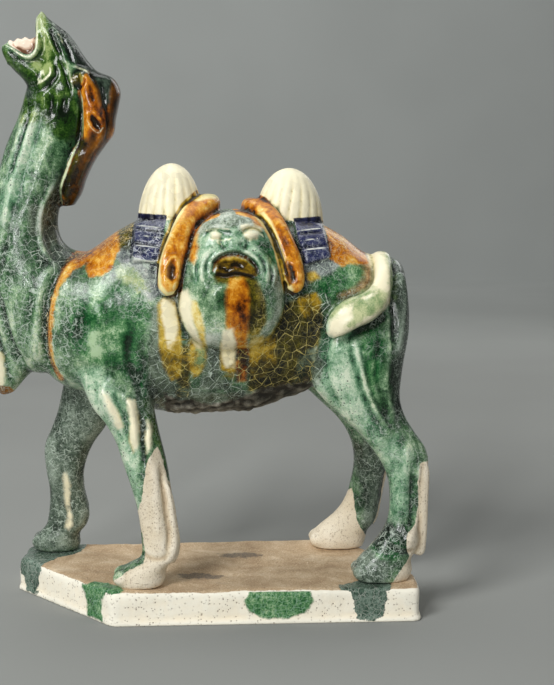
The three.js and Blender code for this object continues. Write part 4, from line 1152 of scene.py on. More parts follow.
        (BOTH, [(-73, 321), (-66, 321), (-59, 317.6), (-61, 309), (-61, 301), (-64.4, 297), (-66.6, 305),
                (-69, 313), (-73, 317)]),
    ],
    "umber": [
        (BOTH, [(-2.8, 205), (-2.2, 210), (1.8, 213.8), (9.9, 215.5), (17, 213.8), (22.2, 209), (23.9, 203.6),
                (22.6, 203.4), (21, 208), (16, 212), (9.9, 213.6), (3, 212), (-0.8, 209), (-1.4, 205)]),
        (BOTH, [(8.4, 207), (10.4, 209.6), (12.6, 207)]),
        (BOTH, [(-26.4, 211), (-23.6, 207), (-23.4, 201), (-26, 199), (-28.6, 202), (-28.4, 207)]),
        (BOTH, [(40, 212), (43, 206), (44.6, 199), (41.6, 196), (39, 201), (38, 208)]),
        (BOTH, [(-72.4, 293.6), (-70.4, 292), (-67.6, 288), (-67.4, 285.4), (-69.4, 286), (-71.8, 290)]),
        (BOTH, [(-131, 134), (-124, 133.6), (-121, 129), (-125, 125), (-134, 125)]),
    ],
    "flesh": [
        (BOTH, [(-121, 338), (-112, 342), (-104, 342), (-104.6, 333), (-108, 329), (-112, 330),
                (-119.6, 334.6)]),
    ],
    "bare": [
        ((NEAR,), [(-35, 103), (-39, 98), (-41, 94), (-43, 83), (-44, 73), (-47, 64), (-46, 58), (-44, 49),
                   (-42.8, 40), (-43, 35.7), (-51.7, 31.6), (-59.9, 26.3), (-64, 21), (-70, 14), (-40, 12),
                   (-26, 16), (-22, 34), (-18, 43), (-19, 59), (-25, 74), (-30, 85), (-32.4, 96)]),
        ((NEAR,), [(119, 91), (118, 79), (118.6, 65), (116, 54), (111, 49), (110.6, 41), (113, 35), (107, 28),
                   (101, 19), (103, 12), (122, 12), (130, 32), (130, 91)]),
        ((FAR,), [(87, 61), (83.6, 56), (78, 50), (68, 42), (56, 31), (54, 12), (80, 12), (98, 16), (98, 26),
                  (90, 39)]),
        ((FAR,), [(110, 80), (112, 84), (118, 84), (112, 40), (104, 30), (101, 36), (106, 50)]),
    ],
}
# Lines where the glaze has run thin: (sides, half width, line)
PALE_LINES = [
    (BOTH, 0.42, [(-100.4, 352.6), (-103, 349), (-103.4, 342), (-103.5, 335), (-104.4, 330.6), (-107, 328),
                  (-110, 327.6), (-114, 329.6), (-118, 332.4), (-122, 334.6)]),
    (BOTH, 0.3, [(-99.4, 348), (-99.2, 338), (-99.6, 331.6), (-101.6, 327.6), (-105.6, 325), (-110.4, 325)]),
    (BOTH, 0.5, [(-103.6, 311.4), (-98.6, 314.4), (-95.4, 318), (-96, 323)]),
    (BOTH, 0.3, [(-104, 318), (-102, 313.4), (-100, 320), (-98.6, 314.6)]),
    (BOTH, 0.45, [(-81.6, 322.4), (-79.4, 321), (-76, 320), (-73, 317.6)]),
    (BOTH, 0.3, [(-91.6, 341.6), (-89.4, 338.6), (-88.4, 335)]),
    (BOTH, 0.3, [(-86.6, 326), (-84.4, 318), (-82.2, 309)]),
    (BOTH, 0.4, [(-78.4, 308), (-77.4, 304), (-77, 297), (-77.2, 288), (-77.8, 281)]),
    (BOTH, 0.7, [(-79.6, 279), (-82.6, 273), (-87.4, 261), (-91.2, 250.6), (-90.6, 242)]),
    (BOTH, 0.3, [(-74.4, 291), (-71.8, 286.4), (-68, 283.8), (-65.4, 286.6)]),
    (BOTH, 0.3, [(-7.3, 227.4), (-2.8, 228.5), (2.8, 229.1), (8.4, 228.5)]),
    (BOTH, 0.5, [(4, 219), (0, 222), (5, 222.6), (9.6, 224)]),
    (BOTH, 0.6, [(19, 226.8), (24, 226.6), (27, 224)]),
    (BOTH, 0.5, [(-4, 226.4), (-1, 227), (2, 226)]),
]
# Lines scratched through the glaze of the tiles: (sides, half width, line)
TILE_LINES = [
    (BOTH, 0.35, [(-47.6, 236), (-29.6, 235), (-34, 210.6), (-49.6, 213.6), (-47.6, 235)]),
    (BOTH, 0.35, [(46.4, 233), (61.8, 234), (65.6, 212.6), (50.4, 208), (46.6, 232)]),
]
for drop in (6, 11.5, 17):
    TILE_LINES.append((BOTH, 0.3, [(-48.4, 236.4 - drop), (-39, 235.6 - drop), (-30, 234.6 - drop)]))
    ends = 46.4 + drop / 6, 62.4 + drop / 7
    TILE_LINES.append((BOTH, 0.35, [(ends[0], 232.8 - drop), (54, 233.6 - drop), (ends[1], 234.4 - drop)]))
# Soft bands where the glaze lies deeper or thinner: (amount, half width, sides, line)
BANDS = [
    (0.9, 2.2, BOTH, [(-95.4, 345), (-92.7, 338.3), (-89.9, 333.8), (-86.6, 328.1), (-84.4, 322.4)]),
    (0.5, 2.6, BOTH, [(-95, 350), (-91.3, 345), (-86.7, 341), (-82.2, 335.3), (-78.8, 329.6),
                      (-74.2, 324.4)]),
    (0.6, 2.6, BOTH, [(-121.4, 330), (-117.4, 327), (-112, 323.6), (-108, 319), (-110, 313)]),
    (-0.6, 3.8, BOTH, [(-103, 299), (-105.5, 287), (-108.5, 272), (-113.5, 254), (-119, 236)]),
    (0.3, 2.4, BOTH, THROAT_GROOVE),
    (-0.4, 1.8, BOTH, [(-111, 296), (-114, 284), (-118, 272)]),
    (0.35, 2.6, BOTH, NECK_GROOVE),
    (-0.4, 1.8, BOTH, NAPE_SEAM),
    (-0.2, 1.2, BOTH, [(80.6, 160), (83, 150), (87, 135), (92, 124), (98, 114)]),
    (0.1, 2.0, BOTH, [(76.5, 162), (79.6, 148), (85, 131), (91, 119), (97, 108)]),
    (-0.35, 3.0, BOTH, [(72, 160), (74, 148), (80, 132), (86, 120)]),
    (0.6, 2.0, (NEAR,), [(103.6, 208), (103.4, 192), (101.6, 181), (93, 173.4), (83, 169.6), (73, 163)]),
    (0.5, 1.8, (NEAR,), [(61, 168), (60.6, 176), (64, 184.6), (71, 191), (80, 193.4), (88, 198)]),
    (-0.4, 2.6, BOTH, [(107.6, 200), (109.6, 186), (108.6, 168), (106, 150)]),
    (0.4, 2.0, (NEAR,), [(-45, 132), (-43.6, 118), (-42.6, 104), (-38, 92)]),
    (-0.5, 2.4, (NEAR,), [(-84, 140), (-76, 126), (-68, 110), (-58, 92), (-52, 76)]),
    (0.5, 1.4, BOTH, [(-24, 189), (-21, 181), (-19.4, 172), (-15.4, 163)]),
    (0.5, 1.2, BOTH, [(2, 222), (3.2, 218.6), (9.6, 217.6), (16, 217.8), (17, 222)]),
]
# Soft areas where it lies deeper or thinner: (amount, softness, sides, outline)
SHADES = [
    (0.3, 8, BOTH, [(-70, 322), (-50, 318), (-50, 300), (-58, 284), (-64, 282), (-66, 300)]),
    (0.3, 12, BOTH, [(-82, 278), (-66, 280), (-72, 256), (-82, 236), (-92, 240), (-86, 262)]),
    (0.35, 8, BOTH, [(-96, 208), (-97, 250), (-90, 260), (-84, 250), (-88, 222), (-80, 212)]),
    # rump and back of the thigh: painted shade, deeper glaze on the side turned from the light
    (0.3, 7, BOTH, [(103, 212), (112, 212), (118, 190), (116, 140), (106, 120), (103, 150)]),
    (0.3, 7, BOTH, [(-98, 300), (-80, 302), (-78, 284), (-88, 280), (-98, 288)]),
    (0.3, 10, (NEAR,), [(12, 172), (30, 178), (30, 200), (16, 198)]),
    (0.3, 8, (NEAR,), [(-84, 166), (-70, 168), (-66, 176), (-84, 182)]),
    (0.35, 9, (NEAR,), [(-56, 166), (-42, 168), (-34, 140), (-38, 124), (-50, 140)]),
    # near shoulder: paler glaze, partly a painted highlight where the lamp's reflection lies
    (-0.6, 7, (NEAR,), [(-74, 172), (-58, 172), (-56, 158), (-74, 156)]),
    (-1.1, 5, BOTH, [(-104, 354), (-99, 354), (-98, 340), (-96, 332), (-94.6, 320), (-99.4, 315), (-104, 321),
                     (-108, 326), (-102, 330)]),
    (0.4, 4, BOTH, [(-78, 312), (-74, 318), (-68, 312), (-66, 300), (-64, 288), (-70, 284), (-77, 290)]),
    (-0.25, 9, BOTH, [(96, 212), (86, 200), (66, 186), (52, 190), (62, 202), (84, 210)]),
    (-0.25, 9, (NEAR,), [(-26, 204), (-16, 190), (-20, 160), (-34, 160), (-34, 190)]),
    (0.35, 8, (NEAR,), [(14, 124), (50, 130), (48, 112), (20, 106)]),
    (0.5, 8, BOTH, [(34, 190), (62, 194), (64, 150), (56, 134), (26, 128), (20, 150), (32, 160)]),
    (0.35, 8, BOTH, [(-34, 158), (34, 158), (34, 124), (-34, 124)]),
    (0.6, 2.4, BOTH, [(-92, 349), (-83, 338), (-76, 327), (-69, 321.6), (-62, 319.6), (-66, 315), (-76, 316),
                      (-80.6, 321), (-83.6, 326), (-88, 334), (-91.6, 341)]),
    (0.3, 3, BOTH, [(11, 200), (16, 200), (18, 150), (12, 140), (11, 168), (8, 176)]),
    (0.5, 2, BOTH, [(-1, 211), (22, 211), (22, 202), (-1, 202)]),
    (1.1, 5, (NEAR,), [(94, 54), (112, 54), (112, 36), (98, 36), (90, 42)]),
    (-0.3, 5, BOTH, [(-84, 318), (-75, 318), (-75, 310), (-84, 310)]),
    (0.35, 6, BOTH, [(-66, 322), (-54, 318), (-53, 304), (-60, 286), (-68, 268), (-80, 242), (-88, 242),
                     (-84, 262), (-76, 280), (-66, 300)]),
    (-0.3, 8, (NEAR,), [(-76, 142), (-58, 142), (-46, 104), (-46, 72), (-52, 62), (-62, 90)]),
    (0.45, 5, BOTH, [(-93, 253), (-80, 257), (-76, 240), (-90, 236)]),
    (0.15, 12, BOTH, [(-140, 232), (-112, 262), (-98, 262), (-98, 206), (-126, 200), (-140, 214)]),
    (-0.25, 10, (FAR,), [(-112, 130), (-66, 130), (-74, 30), (-112, 30)]),
]
for sides, outline in AREAS["strap"]:
    SHADES.append((0.2, 4, sides, outline))
# The same for how crazed the glaze is, and for where the cells of the craze are large
CRAZE = [
    (0.5, 10, BOTH, [(-140, 240), (-100, 226), (-96, 190), (-96, 140), (-120, 130), (-140, 180)]),
    (0.45, 6, BOTH, [(-96, 200), (-76, 198), (-84, 176), (-84, 150), (-92, 140), (-98, 160)]),
    (0.25, 8, (FAR,), [(-120, 150), (-70, 150), (-60, 20), (-125, 20)]),
    (0.5, 6, (NEAR,), [(80, 50), (104, 50), (110, 20), (76, 14)]),
    (0.28, 6, BOTH, [(-58, 240), (-28, 238), (-28, 186), (-44, 186)]),
    (-0.2, 4, BOTH, [(44, 236), (64, 236), (66, 212), (48, 208)]),
    (0.4, 6, BOTH, [(50, 208), (68, 210), (72, 200), (50, 196)]),
    (-0.7, 8, BOTH, [(-100, 340), (-52, 320), (-60, 270), (-84, 236), (-90, 250), (-96, 290)]),
    (-0.5, 6, BOTH, [(-128, 340), (-98, 342), (-98, 294), (-116, 300), (-128, 318)]),
    (-0.3, 8, BOTH, [(58, 200), (104, 216), (104, 110), (80, 130), (62, 170)]),
    (-0.8, 6, BOTH, [(0, 212), (24, 212), (20, 164), (2, 164)]),
    (-0.4, 8, BOTH, [(-14, 210), (0, 210), (0, 180), (-14, 180)]),
    (0.5, 5, BOTH, [(-12, 240), (26, 240), (26, 230), (-12, 230)]),
    (0.7, 8, BOTH, [(-12, 176), (40, 180), (60, 190), (60, 130), (-30, 120), (-30, 150)]),
    (-0.5, 10, (NEAR,), [(-76, 180), (-50, 178), (-44, 156), (-70, 150)]),
]
BIG_CELLS = [
    (1.0, 5, BOTH, [(42, 196), (66, 190), (64, 150), (50, 124), (-20, 112), (-40, 130), (-38, 180),
                    (-24, 176), (-10, 158), (20, 156), (34, 172)]),
    (0.9, 6, BOTH, [(-112, 236), (-88, 232), (-88, 206), (-100, 196), (-118, 200)]),
]


def lay_out_glazes(figure):
    """Stores where each glaze lies, and how hollow the surface is."""
    mesh = figure.data
    points, edges, normals = read_points(mesh), read_edges(mesh), read_normals(mesh)
    for name, patches in AREAS.items():
        paint(figure, name, hard_field(points, patches))
    paint(figure, "pale_line", line_field(points, PALE_LINES))
    paint(figure, "tile_line", line_field(points, TILE_LINES))
    paint(figure, "shade", soft_field(points, SHADES) + soft_lines(points, BANDS))
    paint(figure, "craze", soft_field(points, CRAZE))
    paint(figure, "big_cells", soft_field(points, BIG_CELLS))
    paint(figure, "hollow", hollowness(points, normals, edges, 5, 0.35))
    paint(figure, "wide_hollow", hollowness(points, normals, edges, 24, 1.2))


def give(tree, socket, value):
    """Links another socket to this one, or sets its value."""
    if isinstance(value, bpy.types.NodeSocket):
        tree.links.new(value, socket)
    else:
        socket.default_value = value


def node(tree, kind, inputs=None, **settings):
    """A node with its settings, and its inputs set or linked by name or number."""
    made = tree.nodes.new(kind)
    for name, value in settings.items():
        setattr(made, name, value)
    for name, value in (inputs or {}).items():
        give(tree, made.inputs[name], value)
    return made


def compute(operation, *values, clamp=False):
    """One step of arithmetic, in the node tree of the first socket among the values."""
    tree = next(value.id_data for value in values if isinstance(value, bpy.types.NodeSocket))
    inputs = dict(enumerate(values))
    return node(tree, "ShaderNodeMath", inputs, operation=operation, use_clamp=clamp).outputs[0]


def times(*values):
    return functools.reduce(functools.partial(compute, "MULTIPLY"), values)


def largest(*values):
    return functools.reduce(functools.partial(compute, "MAXIMUM"), values)


def total(start, *parts, clamp=False):
    """A start and parts of (source, amount), added up and at the end held to 0 to 1 if asked."""
    for place, (source, amount) in enumerate(parts, 1):
        start = compute("MULTIPLY_ADD", source, amount, start, clamp=clamp and place == len(parts))
    return start


def mixed(factor, first, second):
    """A mix of two colours, each a socket or plain."""
    inputs = {0: factor}
    for index, colour in ((6, first), (7, second)):
        inputs[index] = colour if isinstance(colour, bpy.types.NodeSocket) else (*colour, 1.0)
    return node(factor.id_data, "ShaderNodeMix", inputs, data_type="RGBA").outputs[2]


def mixed_value(factor, first, second):
    """A mix of two numbers."""
    inputs = {0: factor, 2: first, 3: second}
    return node(factor.id_data, "ShaderNodeMix", inputs, data_type="FLOAT").outputs[0]


def remap(value, low, high, to_low=0.0, to_high=1.0, kind="SMOOTHSTEP"):
    inputs = {"Value": value, "From Min": low, "From Max": high, "To Min": to_low, "To Max": to_high}
    return node(value.id_data, "ShaderNodeMapRange", inputs, interpolation_type=kind).outputs["Result"]


def noise(vector, size, detail=3.0, rough=0.55, warp=0.0):
    """Noise from 0 to 1 whose blobs are about `size` mm across."""
    inputs = {"Vector": vector, "Scale": 1 / (size * MM), "Detail": detail, "Roughness": rough,
              "Distortion": warp}
    return node(vector.id_data, "ShaderNodeTexNoise", inputs).outputs["Fac"]


def ramp(value, stops):
    """A colour ramp; stops are (place, colour)."""
    made = node(value.id_data, "ShaderNodeValToRGB", {"Fac": value})
    elements = made.color_ramp.elements
    while len(elements) < len(stops):
        elements.new(0.5)
    for element, (place, colour) in zip(elements, stops):
        element.position = place
        element.color = (*colour, 1.0)
    return made.outputs["Color"]


def turned(vector, **inputs):
    """The same places, turned or stretched."""
    return node(vector.id_data, "ShaderNodeMapping", {"Vector": vector, **inputs}).outputs[0]


def attribute(tree, name):
    return node(tree, "ShaderNodeAttribute", attribute_name=name).outputs["Fac"]


def new_group(name, inputs, outputs):
    """A node group with an input for each (name, default), its given values and its results.

    An input without a default is a vector.
    """
    group = bpy.data.node_groups.new(name, "ShaderNodeTree")
    for label, default in inputs.items():
        kind = "NodeSocketVector" if default is None else "NodeSocketFloat"
        socket = group.interface.new_socket(label, in_out="INPUT", socket_type=kind)
        if default is not None:
            socket.default_value = default
    for label in outputs:
        group.interface.new_socket(label, in_out="OUTPUT", socket_type="NodeSocketFloat")
    return group, group.nodes.new("NodeGroupInput").outputs, group.nodes.new("NodeGroupOutput").inputs


def craze_group(name):
    """A net of fine cracks in the glaze, with a tone for each cell."""
    inputs = {"Vector": None, "Scale": 300.0, "Width": 0.05, "Warp": 0.0008, "Disorder": 1.0}
    group, given, out = new_group(name, inputs, ["Lines", "Tone"])
    wander = node(group, "ShaderNodeTexNoise", {"Vector": given["Vector"], "Scale": 260.0, "Detail": 2.0})
    centred = node(group, "ShaderNodeVectorMath", {0: wander.outputs["Color"], 1: (0.5, 0.5, 0.5)},
                   operation="SUBTRACT")
    shifted = node(group, "ShaderNodeVectorMath", {0: centred.outputs[0], "Scale": given["Warp"]},
                   operation="SCALE")
    place = node(group, "ShaderNodeVectorMath", {0: given["Vector"], 1: shifted.outputs[0]}, operation="ADD")
    common = {"Vector": place.outputs[0], "Scale": given["Scale"], "Randomness": given["Disorder"]}
    edge = node(group, "ShaderNodeTexVoronoi", common, feature="DISTANCE_TO_EDGE")
    cell = node(group, "ShaderNodeTexVoronoi", common, feature="F1")
    lines = compute("DIVIDE", edge.outputs["Distance"], given["Width"])
    tone = node(group, "ShaderNodeSeparateColor", {0: cell.outputs["Color"]})
    give(group, out["Lines"], remap(lines, 0.45, 1.05, 1.0, 0.0))
    give(group, out["Tone"], tone.outputs[0])
    return group


def edge_group(name):
    """A mask from a distance in mm, with a ragged or soft edge."""
    inputs = {"Distance": 0.0, "Noise": 0.5, "Ragged": 2.0, "Soft": 1.0}
    group, given, out = new_group(name, inputs, ["Mask"])
    shift = compute("SUBTRACT", given["Noise"], 0.5)
    moved = total(given["Distance"], (shift, given["Ragged"]))
    give(group, out["Mask"], remap(compute("DIVIDE", moved, given["Soft"]), -0.5, 0.5))
    return group


def pinhole_group(name):
    """Small round pits, as a mask from 0 to 1."""
    inputs = {"Vector": None, "Scale": 400.0, "Size": 0.2, "Share": 0.3}
    group, given, out = new_group(name, inputs, ["Pits"])
    common = {"Vector": given["Vector"], "Scale": given["Scale"]}
    spots = node(group, "ShaderNodeTexVoronoi", common, feature="F1")
    chance = node(group, "ShaderNodeSeparateColor", {0: spots.outputs["Color"]}).outputs[0]
    chosen = compute("LESS_THAN", chance, given["Share"])
    size = times(given["Size"], compute("ADD", chance, 0.6))
    near = remap(compute("DIVIDE", spots.outputs["Distance"], size), 0.5, 1.0, 1.0, 0.0)
    give(group, out["Pits"], times(near, chosen))
    return group


GROUPS = {"Craze": craze_group, "Glaze edge": edge_group, "Pinholes": pinhole_group}


def use_group(tree, name, **inputs):
    """A shared group, built at its first use, with its inputs set or linked."""
    made = node(tree, "ShaderNodeGroup")
    made.node_tree = bpy.data.node_groups.get(name) or GROUPS[name](name)
    for label, value in inputs.items():
        give(tree, made.inputs[label], value)
    return made.outputs


def edge_mask(tree, name, ragged, amount, soft):
    """Where a painted area lies, from its stored distance."""
    distance = attribute(tree, name)
    return use_group(tree, "Glaze edge", Distance=distance, Noise=ragged, Ragged=amount, Soft=soft)["Mask"]


def new_material(name):
    """A material, its tree and the place on the piece that its patterns follow."""
    material = bpy.data.materials.new(name)
    material.use_nodes = True
    tree = material.node_tree
    return material, tree, node(tree, "ShaderNodeTexCoord").outputs["Object"]


def finish_material(material, colour, rough, height, drop):
    """Feeds colour, roughness and relief to the shader."""
    tree = material.node_tree
    shader = tree.nodes["Principled BSDF"]
    bump = node(tree, "ShaderNodeBump", {"Height": height, "Distance": drop * MM, "Strength": 1.0})
    inputs = {"Base Color": colour, "Roughness": rough, "Normal": bump.outputs["Normal"], "IOR": 1.5,
              "Specular IOR Level": 0.38}
    for name, value in inputs.items():
        give(tree, shader.inputs[name], value)
    return material


def glaze(*stops):
    """The colours of a glaze, from thin on a ridge to deep in a hollow."""
    return [(place, srgb(*colour)) for place, *colour in stops]


GREEN = glaze((0, 206, 218, 186), (0.2, 144, 174, 134), (0.46, 84, 120, 82), (0.72, 38, 74, 42),
              (1, 10, 30, 16))
DARK_GREY = glaze((0, 140, 154, 138), (0.35, 82, 98, 82), (0.65, 45, 58, 47), (1, 14, 22, 16))
MINT = glaze((0, 216, 228, 202), (0.3, 160, 192, 158), (0.6, 100, 144, 108), (0.85, 48, 94, 62),
             (1, 22, 58, 36))
PALE = glaze((0, 244, 244, 212), (0.5, 212, 222, 180), (1, 140, 160, 112))
BRIGHT_GREEN = glaze((0, 176, 204, 160), (0.3, 84, 136, 84), (0.6, 24, 84, 40), (1, 4, 34, 12))
DEEP_GREEN = glaze((0, 150, 168, 104), (0.3, 76, 108, 44), (0.6, 30, 62, 14), (1, 6, 20, 4))
AMBER = glaze((0, 252, 230, 162), (0.18, 238, 184, 80), (0.42, 206, 130, 22), (0.68, 156, 82, 6),
              (0.86, 88, 42, 4), (1, 36, 16, 4))
COBALT = glaze((0, 80, 84, 110), (0.3, 40, 44, 84), (0.6, 20, 24, 56), (1, 8, 8, 22))
CREAM = glaze((0, 250, 242, 208), (0.5, 240, 228, 184), (0.8, 200, 190, 140), (1, 112, 112, 74))
OLIVE = glaze((0, 164, 142, 46), (0.3, 100, 92, 22), (0.6, 52, 48, 10), (1, 16, 16, 6))
STRAW = glaze((0, 246, 232, 166), (0.35, 218, 186, 78), (0.65, 160, 128, 22), (0.85, 96, 78, 14),
              (1, 50, 42, 12))
GOLD = glaze((0, 222, 196, 110), (0.35, 160, 128, 28), (0.7, 82, 62, 10), (1, 26, 20, 6))
UMBER = glaze((0, 186, 122, 34), (0.5, 112, 66, 12), (1, 34, 20, 4))
ASH = glaze((0, 206, 212, 196), (0.35, 136, 152, 130), (0.65, 82, 96, 76), (1, 30, 38, 30))
ROCK_CLAY = glaze((0, 176, 172, 158), (0.5, 112, 108, 96), (1, 44, 42, 36))
SAP = glaze((0, 206, 210, 160), (0.5, 140, 162, 110), (1, 66, 96, 56))
SCALES = glaze((0, 214, 216, 206), (0.5, 132, 140, 136), (1, 38, 44, 52))
FLESH = glaze((0, 244, 226, 204), (0.4, 214, 182, 156), (1, 112, 78, 56))
FAWN = glaze((0, 226, 204, 164), (0.5, 184, 146, 100), (1, 104, 70, 38))
BISCUIT = glaze((0, 246, 236, 214), (0.5, 226, 212, 184), (1, 176, 152, 120))
SLAB_CREAM = glaze((0, 255, 250, 232), (0.5, 255, 243, 216), (1, 216, 190, 152))
SLAB_DUST = glaze((0.2, 156, 128, 98), (0.5, 194, 168, 134), (0.8, 226, 206, 176))
SLAB_BLACK = glaze((0, 140, 158, 144), (0.4, 70, 94, 78), (0.7, 32, 44, 38), (1, 14, 20, 16))
# How deep a glaze lies: where it starts, and how much each pattern adds
DEPTHS = {
    "green": (-1.56, {"hollow": 0.24, "wide_hollow": 0.16, "shade": 0.6, "blotch": 1.4, "streak": 1.0,
                      "cloud": 0.9, "grain": 1.0}),
    "warm": (-0.98, {"hollow": 0.24, "wide_hollow": 0.12, "shade": 0.6, "blotch": 0.9, "streak": 1.0,
                     "cloud": 0.9, "grain": 0.3}),
    "calm": (0.0, {"hollow": 0.5, "wide_hollow": 0.2, "shade": 0.3, "blotch": 0.4, "grain": 0.14}),
    "gum": (-0.3, {"hollow": 0.9, "wide_hollow": 0.3, "blotch": 0.4, "cloud": 0.5}),
}
# From the lowest up: (area, colours, depth, ragged edge in mm, soft edge in mm)
LAYERS = [
    ("dark_grey", DARK_GREY, "green", 12.0, 9.0),
    ("mint", MINT, "green", 12.0, 9.0),
    ("bright_green", BRIGHT_GREEN, "green", 9.0, 4.0),
    ("deep_green", DEEP_GREEN, "green", 8.0, 5.0),
    ("dark_top", DARK_GREY, "green", 4.0, 4.0),
    ("olive", OLIVE, "green", 3.0, 3.0),
    ("ash", ASH, "green", 4.0, 3.4),
    ("grey_scales", SCALES, "green", 4.0, 3.0),
    ("fawn", FAWN, "green", 6.0, 6.0),
    ("straw", STRAW, "warm", 2.2, 2.6),
    ("gold", GOLD, "warm", 1.0, 1.2),
    ("amber_run", AMBER, "warm", 3.0, 3.4),
    ("cream_run", CREAM, "calm", 3.6, 2.8),
    ("sap", SAP, "green", 9.0, 4.0),
    ("rock", ROCK_CLAY, "green", 7.0, 2.5),
    ("amber", AMBER, "warm", 4.0, 1.8),
    ("brown", UMBER, "warm", 3.0, 3.4),
    ("mane_edge", OLIVE, "warm", 3.0, 3.4),
    ("crown_gap", DARK_GREY, "green", 3.0, 2.6),
    ("cream", CREAM, "calm", 1.4, 1.0),
    ("cobalt", COBALT, "green", 0.8, 0.7),
    ("tile_line", SCALES, "calm", 0.5, 0.4),
    ("strap", AMBER, "warm", 0.8, 0.8),
    ("strap_rim", STRAW, "calm", 1.4, 1.8),
    ("umber", UMBER, "warm", 0.9, 1.2),
    ("flesh", FLESH, "gum", 0.8, 0.8),
    ("pale_line", PALE, "calm", 1.2, 0.9),
]


def glaze_patterns(tree, vector):
    """Every pattern that the glazes follow, by name."""
    stored = ("hollow", "wide_hollow", "shade", "craze", "big_cells")
    patterns = {name: attribute(tree, name) for name in stored}
    patterns["blotch"] = noise(vector, 16, 3, 0.6, 0.4)
    patterns["streak"] = noise(turned(vector, Scale=(1.0, 1.0, 0.34)), 6, 4, 0.6, 0.6)
    patterns["cloud"] = noise(vector, 3.6, 4, 0.65, 0.5)
    patterns["grain"] = noise(vector, 0.9, 3, 0.7)
    patterns["ragged"] = noise(vector, 4.5, 4, 0.65)
    return patterns


def glaze_layers(tree, patterns):
    """The glazes laid over each other: their colour, and a mask for each."""
    depths = {
        kind: total(start, *((patterns[name], amount) for name, amount in parts.items()), clamp=True)
        for kind, (start, parts) in DEPTHS.items()
    }
    colour = ramp(depths["green"], GREEN)
    masks = {}
    for name, stops, kind, ragged, soft in LAYERS:
        masks[name] = edge_mask(tree, name, patterns["ragged"], ragged, soft)
        colour = mixed(masks[name], colour, ramp(depths[kind], stops))
    return colour, masks


def craze_lines(tree, vector, amount, big):
    """Broken nets of small cells, and large cells where `big` is 1; also the tone of the cells."""
    fine = use_group(tree, "Craze", Vector=vector, Scale=460.0, Width=0.09)
    middle = use_group(tree, "Craze", Vector=vector, Scale=230.0, Width=0.055, Warp=0.0012)
    tilted = turned(vector, Rotation=(0.3, 0.75, 0.2))
    large = use_group(tree, "Craze", Vector=tilted, Scale=165.0, Width=0.03, Warp=0.0007, Disorder=0.66)
    broken = remap(noise(vector, 2.6, 2, 0.6), 0.4, 0.56)
    small_lines = largest(times(fine["Lines"], 0.55), middle["Lines"])
    small_lines = times(small_lines, broken, amount, total(1.0, (big, -0.8)))
    big_lines = largest(large["Lines"], times(middle["Lines"], 0.2))
    big_lines = times(big_lines, remap(broken, 0.0, 1.0, 0.35, 1.0), big)
    return largest(small_lines, big_lines), middle["Tone"]


def bare_clay(tree, vector, patterns):
    """The unglazed clay: its colour and its pits."""
    tone = total(0.05, (patterns["blotch"], 0.7), (patterns["hollow"], 0.35), clamp=True)
    pits = use_group(tree, "Pinholes", Vector=vector, Scale=720.0, Size=0.34, Share=0.7)["Pits"]
    clay = mixed(times(pits, 0.3), ramp(tone, BISCUIT), srgb(138, 106, 74))
    specks = remap(noise(vector, 0.5, 2, 0.6), 0.5, 0.7, 0.0, 0.35)
    return mixed(specks, clay, srgb(150, 122, 88)), pits


def glazed_earthenware():
    material, tree, vector = new_material("glazed_earthenware")
    patterns = glaze_patterns(tree, vector)
    colour, masks = glaze_layers(tree, patterns)
    covered = largest(masks["cream"], masks["flesh"], masks["pale_line"], times(masks["cream_run"], 0.8),
                      masks["rock"])
    covered = total(covered, (masks["strap"], 0.85))
    open_glaze = compute("SUBTRACT", 1.0, covered, clamp=True)
    glassy = largest(masks["olive"], masks["straw"], masks["gold"], masks["amber_run"])
    clear = largest(glassy, masks["deep_green"])

    # cracks, the tone of their cells, and frost on the open glaze
    amount = total(-0.6, (noise(vector, 22, 3, 0.6, 0.3), 2.2), (patterns["craze"], 1.0), clamp=True)
    big = total(0.0, (patterns["big_cells"], 1.0), clamp=True)
    lines, tone = craze_lines(tree, vector, amount, big)
    lines = times(lines, open_glaze)
    specks = remap(noise(vector, 0.62, 2, 0.6), 0.5, 0.62)
    frost = times(specks, remap(patterns["cloud"], 0.36, 0.62), total(0.04, (amount, 0.5)), open_glaze)
    frost = times(frost, total(1.0, (clear, -0.85)))
    line_colour = mixed(glassy, srgb(198, 212, 196), srgb(206, 190, 110))
    line_colour = mixed(masks["amber"], line_colour, srgb(238, 210, 146))
    line_colour = mixed(masks["cobalt"], line_colour, srgb(196, 200, 208))
    tone = total(0.83, (tone, 0.34))
    toned = node(tree, "ShaderNodeVectorMath", {0: colour, "Scale": tone}, operation="SCALE").outputs[0]
    colour = mixed(times(amount, 0.9), colour, toned)
    colour = mixed(times(frost, 0.75), colour, srgb(172, 190, 174))
    colour = mixed(times(lines, 0.8), colour, line_colour)
    dots = use_group(tree, "Pinholes", Vector=vector, Scale=560.0, Size=0.34, Share=0.5)["Pits"]
    dots = times(dots, largest(masks["mint"], masks["dark_grey"]), 0.85, open_glaze)
    colour = mixed(dots, colour, srgb(34, 50, 42))

    bare = edge_mask(tree, "bare", patterns["ragged"], 2.2, 0.5)
    clay, pits = bare_clay(tree, vector, patterns)
    rough = total(GLAZE_ROUGHNESS, (lines, 0.25), (masks["cream"], 0.26), (masks["cream_run"], 0.12),
                  (masks["rock"], 0.6), (frost, 0.35))
    rough = mixed_value(bare, rough, CLAY_ROUGHNESS)
    grain = patterns["grain"]
    height = total(0.0, (noise(vector, 9, 2, 0.5), 0.55), (lines, -0.16), (grain, 0.06),
                   (times(pits, bare), -0.35), (times(grain, bare), 0.25))
    return finish_material(material, mixed(bare, colour, clay), rough, height, GLAZE_RELIEF)


